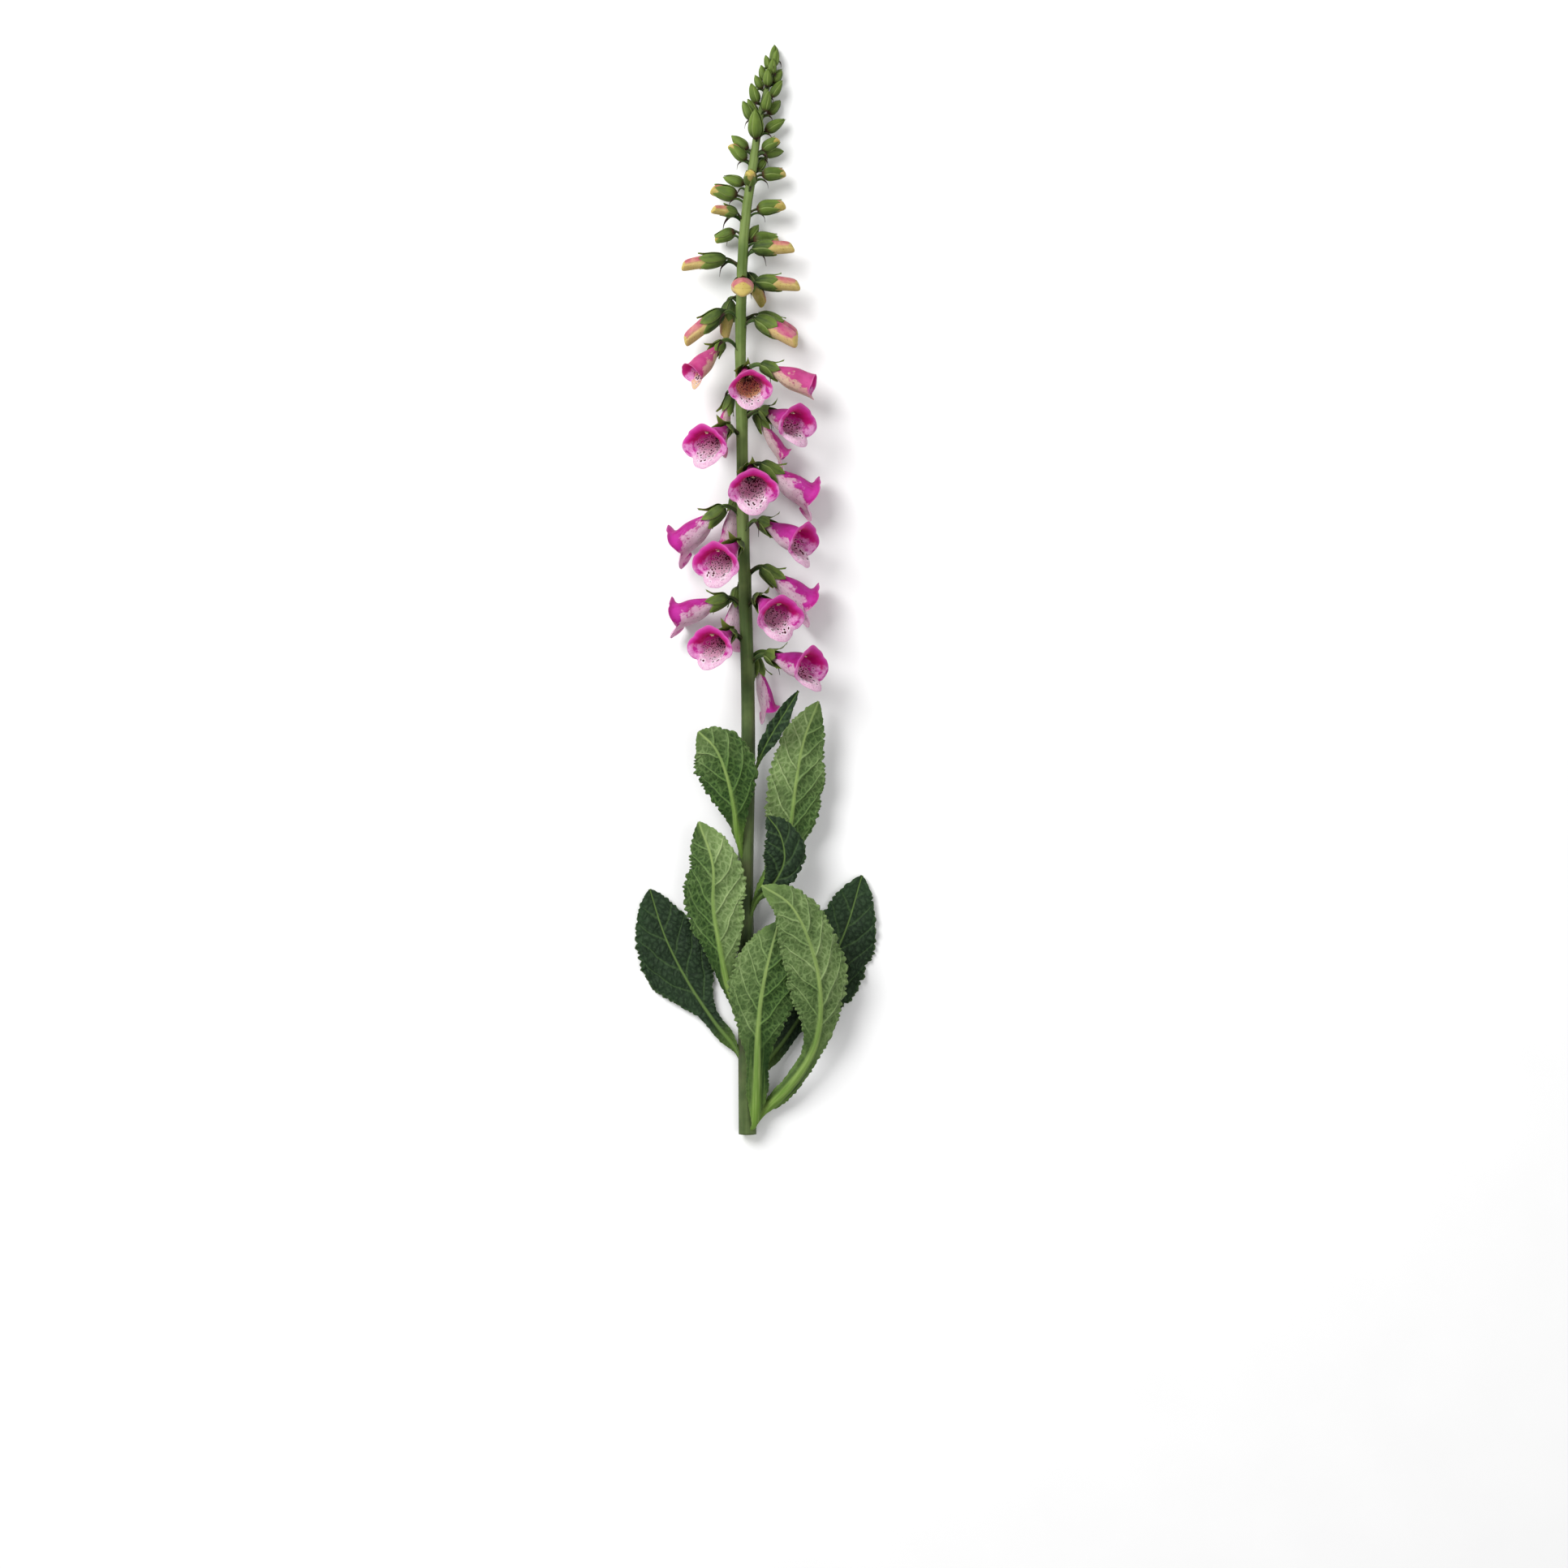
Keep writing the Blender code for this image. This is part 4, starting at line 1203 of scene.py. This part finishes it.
def green_bud(number, row, petal, green):
    """A small bud whose sepals still close to a point, with the petals showing past some."""
    length, shows = row[5:7]
    seat = Seat(row, 3)
    random = np.random.default_rng(900 + number)
    skin = Skin()
    stalk(skin, seat, 0.8)
    showing = shows > 0.2
    girth = random.uniform(0.90, 1.04) * length
    for k in range(5):
        rise = length * (0.84 if showing else 1.02) * random.uniform(0.96, 1.04)
        tip = 0.19 if showing else random.uniform(-0.01, 0.04)
        radius = np.array([0.08, 0.22, 0.27, 0.18 + 0.3 * tip, tip]) * girth
        height = np.array([-0.04, 0.13, 0.37, 0.74, 1.0]) * rise
        half = np.array([0.09, 0.19, 0.25, 0.15, 0.006]) * girth * (0.8 if k == 0 else 1.0)
        turn = FIFTH * k + random.uniform(-0.2, 0.2)
        sepal(skin, seat, turn, radius, height, half, 1.0, 0.95, fade=4.5, pale=0.35)
    skin.build(f"green_bud_{number:02d}", "calyx_green", green)
    if not showing:
        return
    angles = around(GREEN_BUD_SIDES)
    # Half width and height, both as shares of the length.
    line = smooth_path((
        (0.08, 0.02), (0.19, 0.2), (0.22, 0.5), (0.205, 0.76), (0.16, 0.91), (0.09, 0.965),
        (0.01, 0.98),
    ), GREEN_BUD_ROWS)
    out, share = line[:, :1], line[:, 1:]
    near_end = smoothstep((share - 0.5) / 0.4)
    radius = out * girth * (1 + 0.07 * np.cos(4 * angles - 0.3) * near_end)
    slant = 0.35 * out * length * np.cos(angles) * near_end
    height = share * length * (0.86 + 0.10 * shows) - slant
    rows = grid_of(radius * np.sin(angles), radius * np.cos(angles), height)
    skin = Skin()
    patch = GREEN_BUD_PATCH * number
    uv = grid_of(seam(angles) * GREEN_BUD_GIRTH, share * length + patch)
    face = folded_lip(angles, share, out / 0.24, start=0.88, blur=0.04, reach=0.9)
    petal_tube(skin, seat, rows, angles, share, uv, (0.94, patch), face, 1.0)
    skin.build(f"green_bud_petals_{number:02d}", "bud_pink", petal)


def stamens(name, row, seed, finish):
    """Four stamens with paired pollen sacks and a forked style, against the bell's roof."""
    size = row[5]
    seat = Seat(row)
    random = np.random.default_rng(seed)
    skin = Skin()

    def thread(turn, first, reach, rows, spans):
        """A filament along the roof, on that side, with its distance from the axis in shares."""
        v = np.linspace(first, reach, rows)
        out = bell_tube(v, turn) * np.interp(v, (first, 0.3, reach), spans) * size
        path = [out * math.sin(turn), out * math.cos(turn), BELL_LENGTH * size * v]
        skin.body(seat.place(tube(np.column_stack(path), THREAD_RADIUS * size, THREAD_SIDES)))
        return np.array([line[-1] for line in path])

    for turn, reach in ((-0.5, 0.64), (-0.2, 0.54), (0.2, 0.56), (0.5, 0.66)):
        end = thread(turn, 0.08, reach, 12, (0.4, 0.76, 0.78))
        for lean in (-1, 1):
            middle = end + np.array([lean * 0.7, 0.2, 0.3]) * size
            swell = np.sin(np.linspace(0.15, math.pi - 0.15, SACK_ROWS))[:, None]
            line = middle + np.linspace(-1.3, 1.3, SACK_ROWS)[:, None] * unit(
                np.array([lean * 0.35, random.uniform(-0.2, 0.2), 1.0])
            ) * size
            skin.body(seat.place(tube(line, 0.75 * size * swell, SACK_SIDES)))
    end = thread(0.0, 0.05, 0.76, 14, (0.3, 0.8, 0.84))
    for lean in (-1, 1):
        tip = end + np.linspace(0, 1, 5)[:, None] * np.array([lean * 0.7, -0.4, 2.0]) * size
        skin.body(seat.place(tube(tip, THREAD_RADIUS * size, THREAD_SIDES)))
    skin.build(f"stamens_{name}", "petal_magenta", finish)


def bract(skin, row, length, width, seed):
    """A narrow leaf under a flower's stalk that curls over and ends in a dark, hooked tail."""
    random = np.random.default_rng(seed)
    height = row[0] - 6.5 * math.cos(math.radians(row[4]))
    out = outward(row[1] + random.uniform(-25, 25))
    centre, radius = stem_at(height)
    hook = random.uniform(0.35, 0.8)
    swing = unit(np.cross(out, UP_STEM)) * random.uniform(-0.25, 0.25)
    stations = ((0.20, 0.20, 0.0), (0.50, 0.26, 0.3), (0.80, 0.24 - 0.35 * hook, 0.7),
                (0.88, 0.10 - 0.75 * hook, 1.0))
    points = [out * (radius - 0.6)] + [
        out * (radius + away * length) + (UP_STEM * up + swing * turned) * length
        for away, up, turned in stations
    ]
    path = smooth_path(np.array(points) + centre, BRACT_ROWS)
    half = width / 2 * np.interp(
        np.linspace(0.0, 1.0, BRACT_ROWS), (0, 0.12, 0.34, 0.55, 0.75, 1),
        (0.8, 0.9, 1, 0.62, 0.22, 0.05),
    )
    face = unit(UP_STEM * 0.5 + SKYWARD * 0.7 - out * 0.4)
    rows, edge, share = blade(path, face, half, 0.28 * width, BRACT_WALL, BRACT_COLUMNS)
    uv = tube_uv(path, rows.shape[1], width * 2)
    skin.body(rows, uv, edge=edge, along=share, flush=smoothstep((share - 0.42) / 0.3))


# Stem and leaves.


def stem(finish):
    """The tapering stem: low lengthwise ribs, a swelling under each flower, and a cut end."""
    path = smooth_path(STEM_POINTS, STEM_ROWS)
    y, thick = path[:, 1:2], path[:, 3:]
    angles = around(STEM_SIDES)
    radius = thick * (1 + 0.032 * np.cos(5 * angles + y * 0.010))
    radius = radius * (1 + 0.006 * np.sin(13 * angles + y * 0.03))
    for row in (*BELLS.values(), *BUDS.values(), *GREEN_BUDS):
        foot = row[0] - FOOT_DROP
        facing = np.exp(-((1 - np.cos(angles - math.radians(row[1]))) / 0.22))
        rising = np.where(y > foot, bump(y, foot, 2.6), np.exp((y - foot) / 9.0))
        radius = radius + FOOT_SWELL * thick * facing * rising
    rows = tube(path[:, :3], radius, STEM_SIDES)
    centre = rows[0].mean(axis=0)
    shares = np.array([0.0, 0.12, 0.3, 0.5, 0.72, 0.9, 0.97])[:, None, None]
    dish = np.array([1.4, 1.3, 1.0, 0.6, 0.2, 0.0, 0.05])[:, None, None] * UP_STEM
    rows = np.concatenate([centre + (rows[0] - centre) * shares + dish, rows])
    down = smoothstep((250 - rows[..., 1].mean(axis=1)) / 420)[:, None]
    cut = np.arange(len(rows))[:, None] < len(shares)
    ring = np.ones((len(rows), 1))
    ring[:len(shares), 0] = shares[:, 0, 0]
    uv = np.zeros((len(rows), STEM_SIDES + 1, 2))
    uv[len(shares):] = tube_uv(path[:, :3], STEM_SIDES, STEM_GIRTH)
    skin = Skin()
    skin.body(rows, uv, down=down, cut=cut, ring=ring)
    skin.build("stem", "stem_green", finish, "stem")


def leaf_half_width(share, width, widest, stalk):
    """The leaf's half width: a winged stalk, a broad middle and a rounded tip."""
    stalk_share, stalk_half = stalk
    rise = smoothstep((share - stalk_share) / (widest - stalk_share))
    fall = np.clip(1 - ((share - widest) / (1 - widest)) ** 2, 0.0, 1.0) ** LEAF_TIP_POWER
    body = np.where(share < widest, stalk_half + (width / 2 - stalk_half) * rise, width / 2 * fall)
    return np.maximum(body, LEAF_TIP_WIDTH / 2)


def leaf_line(midrib, width, widest, stalk):
    """A leaf's midrib, from inside the stem to its tip, in even steps along its outline.

    Returns how far each point is along the outline and along the midrib, where the leaf
    leaves the stem, the share of the leaf's own length, the points, and the way out.
    """
    first = np.array(midrib[0], float)
    centre, _ = stem_at(first[1])
    aside = unit((first - centre) * np.array([1.0, 0.0, 1.0]))
    middle, thick = stem_at(max(first[1] - DECURRENT, STEM_POINTS[0][1] + 3))
    fine = smooth_path([middle + aside * thick * 0.5, *midrib], MIDRIB_STEPS)
    run = run_of(fine)
    root_run = run[np.argmin(np.linalg.norm(fine - first, axis=1))]

    def share_at(along):
        return np.clip((along - root_run) / (run[-1] - root_run), 0.0, 1.0)

    half = leaf_half_width(share_at(run), width, widest, stalk)
    edge_run = run_of(np.column_stack([run, half]))
    outline = np.linspace(0.0, edge_run[-1], int(edge_run[-1] / LEAF_STEP))[:, None]
    along = np.interp(outline, edge_run, run)
    path = np.column_stack([np.interp(along[:, 0], run, fine[:, k]) for k in range(3)])
    return outline, along, root_run, share_at(along), path, aside


def leaf(name, row, seed, finish):
    """One leaf: toothed and crisped margins, a folded blade, side veins and a midrib.

    Its midrib rises out of the stem. A point of the sheet is midrib + across times width +
    normal times (fold + droop of the edges + waves + puckers between the side veins), and the
    teeth stand square to the outline. Each face is then set off by half the leaf's thickness,
    and the underside by the heights of the midrib and of the side veins.
    """
    midrib, lean, width, widest, droop, shows, stalk, (left, right, tipwards) = row
    outline, along, root_run, share, path, aside = leaf_line(midrib, width, widest, stalk)
    tangent = unit(np.gradient(path, axis=0))
    face = np.array([lean, 0.0, 1.0])
    on_stem = np.clip(1 - (along - root_run * 0.6) / (root_run * 0.9 + 6), 0.0, 1.0)
    face = unit(face * (1 - on_stem) + (aside + 0.3 * face) * on_stem)
    normal = unit(face - tangent * (tangent * face).sum(axis=1, keepdims=True))
    across = np.cross(tangent, normal)
    half = leaf_half_width(share, width, widest, stalk)
    half = np.maximum(half * (0.15 + 0.85 * smoothstep(along / STALK_WIDENS)), 1.0)
    fill = np.clip(2 * half / width, 0.0, 1.0)

    t = np.linspace(-1.0, 1.0, LEAF_COLUMNS)[None]
    x = there_and_back(np.sign(t) * np.abs(t) ** 0.92)
    side = np.where(x > 0, 1.0, 0.0)
    beat = outline / TOOTH_LENGTH + 0.35 * side + 0.5 * ripple(outline / 11 + 3 * side, seed)
    cycle = beat % 1.0
    tooth = cycle**0.8 * (1 - cycle) ** 0.45 * 2.0 + 0.3 * ripple(outline / 3 + side, seed + 5)
    depth = TOOTH_DEPTH * np.minimum(1.2 * fill, 1.0) ** 0.9 * min(1.0, width / 34)
    stands = depth * np.abs(x) ** 9 * (tooth - 0.55)
    turn = np.arctan(np.gradient(half, along[:, 0], axis=0))
    lobing = np.sign(x) * 1.1 * fill * x**4 * ripple(along / 15 + 2 * side, seed + 9)
    reach = half * x + np.sign(x) * stands * np.cos(turn) + lobing
    onward = -stands * np.sin(turn)

    distance = np.abs(half * x)
    pitch = 6.0 + 0.28 * width
    vein = (along - VEIN_LEAN * distance - VEIN_BEND * distance**2) / pitch + 0.45 * side
    vein = vein + 0.10 * ripple(along / 24 + side, seed + 2)
    off_vein = np.abs(vein % 1.0 - 0.5) * pitch * 0.55
    side_rib = bump(off_vein, 0.0, 0.9) * smoothstep(distance / 3) * (1 - 0.7 * np.abs(x))
    hollow = np.sin(np.clip(off_vein / (pitch * 0.275), 0, 1) * math.pi / 2) ** 2
    waves = np.random.default_rng(seed).uniform(0, 6.3, 3)
    crisp = np.sin(2 * math.pi * beat + waves[0]) * np.abs(x) ** 7 * 1.1 * fill
    flutter = np.sin(along / 5.2 + waves[1] + 2.2 * side) * np.abs(x) ** 3 * 1.7 * fill**2
    sway = 1.1 * np.sin(along / 17 + waves[2]) * fill
    quilt = puckers(reach, along, seed) * fill * smoothstep(distance / 4)
    puff = 1.1 * hollow * smoothstep(distance / 5) * fill * (1 - 0.5 * x**2) + QUILTING * quilt
    fold = (FOLD * fill + 0.2 * half * (1 - fill) ** 2) * np.sqrt(x**2 + 0.01)
    down = 1.0 if shows == "under" else -1.0
    level = -droop * 0.8 * fill * x**2 + crisp + flutter + sway * x - down * (fold + puff)

    stout = 0.7 + 3 * stalk[0]
    rib_half = (2.7 * stout * (1 - share) ** 1.5 + 0.4) * min(1.0, width / 38)
    rib_half = rib_half * (0.6 + 0.4 * smoothstep(along / (root_run + 1)))
    rib = np.sqrt(np.clip(1 - (distance / rib_half) ** 2, 0, 1)) * rib_half * 0.6
    wall = LEAF_WALL * (1.15 - x**6)
    is_upper = np.repeat([0.0, 1.0] if shows == "under" else [1.0, 0.0], LEAF_COLUMNS)[None]
    level = level + down * np.where(
        is_upper > 0, 0.3 * bump(distance / rib_half, 0.0, 1.0) - wall,
        wall + rib + 0.7 * side_rib * fill,
    )
    rows = path[:, None] + sum(
        way[:, None] * far[..., None]
        for way, far in ((across, reach), (tangent, onward), (normal, level))
    )
    # Painted light and shade: one half of the blade painted paler and the other darker, as light
    # and shade on the folded halves, changing towards the tip.
    shade = left + (right - left) * (0.5 + 0.5 * np.tanh(x * 4)) + tipwards * (2 * share - 1)
    skin = Skin()
    skin.body(
        rows, closed(grid_of(reach, along + LEAF_PATCH * seed)), edge=np.abs(x),
        upper=is_upper, rib=rib_half, along=share, vein=vein + VEIN_START, pitch=pitch,
        shade=shade, blade=smoothstep(2 * (half - stalk[1]) / width / 0.4),
    )
    slot = "leaf_upper" if shows == "upper" else "leaf_underside"
    skin.build(f"leaf_{name}", slot, finish, f"leaf_{name}")


# Table, light and camera.


def table_top(finish):
    """A plain square table top, level with the frame's floor; half its side is in metres."""
    half = 6.0
    mesh = bpy.data.meshes.new("table_top")
    corners = [(-half, -half, 0), (half, -half, 0), (half, half, 0), (-half, half, 0)]
    mesh.from_pydata(corners, [], [(0, 1, 2, 3)])
    mesh.materials.append(finish)
    piece = link_object("table_top", mesh)


def area_light(name, place, size, watts):
    """A round soft light that is aimed at the middle of the table."""
    light = bpy.data.lights.new(name, "AREA")
    light.shape = "DISK"
    light.size = size
    light.energy = watts
    lamp = link_object(name, light)
    lamp.location = place
    x, y, z = place
    lamp.rotation_euler = (math.atan2(math.hypot(x, y), z), 0.0, math.atan2(x, -y))


def studio():
    """A white room, a large soft light above the tip and a wide one over the middle."""
    world = bpy.data.worlds.new("room")
    world.use_nodes = True
    background = world.node_tree.nodes["Background"].inputs
    background["Color"].default_value = (1.0, 1.0, 1.0, 1.0)
    background["Strength"].default_value = 0.45
    bpy.context.scene.world = world
    bpy.context.scene.view_settings.view_transform = "Standard"
    area_light("key", (-1.1, 1.0, 1.7), size=1.5, watts=58.0)
    area_light("fill", (0.9, -0.6, 2.2), size=1.8, watts=14.0)


def camera():
    """Looks straight down through a long lens, the stem's tip at the top."""
    lens = bpy.data.cameras.new("camera")
    lens.sensor_width = 36.0
    lens.lens = 36.0 * (CAMERA_HEIGHT - VIEW_MIDDLE[2]) / VIEW_WIDTH
    lens.clip_start = 0.01
    lens.clip_end = 50.0
    eye = link_object("camera", lens)
    eye.location = (np.array([*VIEW_MIDDLE[:2], CAMERA_HEIGHT]) + SHIFT) * MM
    bpy.context.scene.camera = eye


# The plant.


def main():
    """Builds it all; each kind of piece draws its random numbers from seeds of its own."""
    camera()
    studio()
    specks_group()
    veins_group()
    cloud_group()
    table_top(table_finish())
    petal, bud_skin, stamen = petal_finish(), bud_finish(), stamen_finish()
    sepal_skin = green_finish(
        "calyx_green", rgb(98, 118, 50), rgb(34, 50, 20), rgb(134, 146, 88), rgb(62, 40, 26)
    )
    bract_skin = green_finish(
        "bract_green", rgb(84, 106, 48), rgb(32, 50, 22), rgb(112, 126, 76), rgb(44, 24, 24)
    )
    blade_skin = leaf_finish()
    stem(stem_finish())
    for k, (name, row) in enumerate(BELLS.items()):
        bell(name, row, 10 + k, petal)
        calyx(name, row, 40 + k, sepal_skin)
        if name in OPEN_FRONT:
            stamens(name, row, 70 + k, stamen)
    for k, (name, row) in enumerate(BUDS.items()):
        bud(name, row, 100 + k, bud_skin, sepal_skin)
    for k, row in enumerate(GREEN_BUDS, 1):
        green_bud(k, row, bud_skin, sepal_skin)
    bracts = Skin()
    for k, row in enumerate(BELLS.values()):
        bract(bracts, row, length=21.0, width=5.0, seed=200 + k)
    for k, row in enumerate(BUDS.values()):
        bract(bracts, row, length=15.0, width=4.0, seed=240 + k)
    for k, row in enumerate(GREEN_BUDS):
        bract(bracts, row, length=0.5 * row[5] + 2.0, width=2.6, seed=260 + k)
    bracts.build("bracts", "calyx_green", bract_skin)
    for k, (name, row) in enumerate(LEAVES.items(), 1):
        leaf(name, row, k, blade_skin)


main()
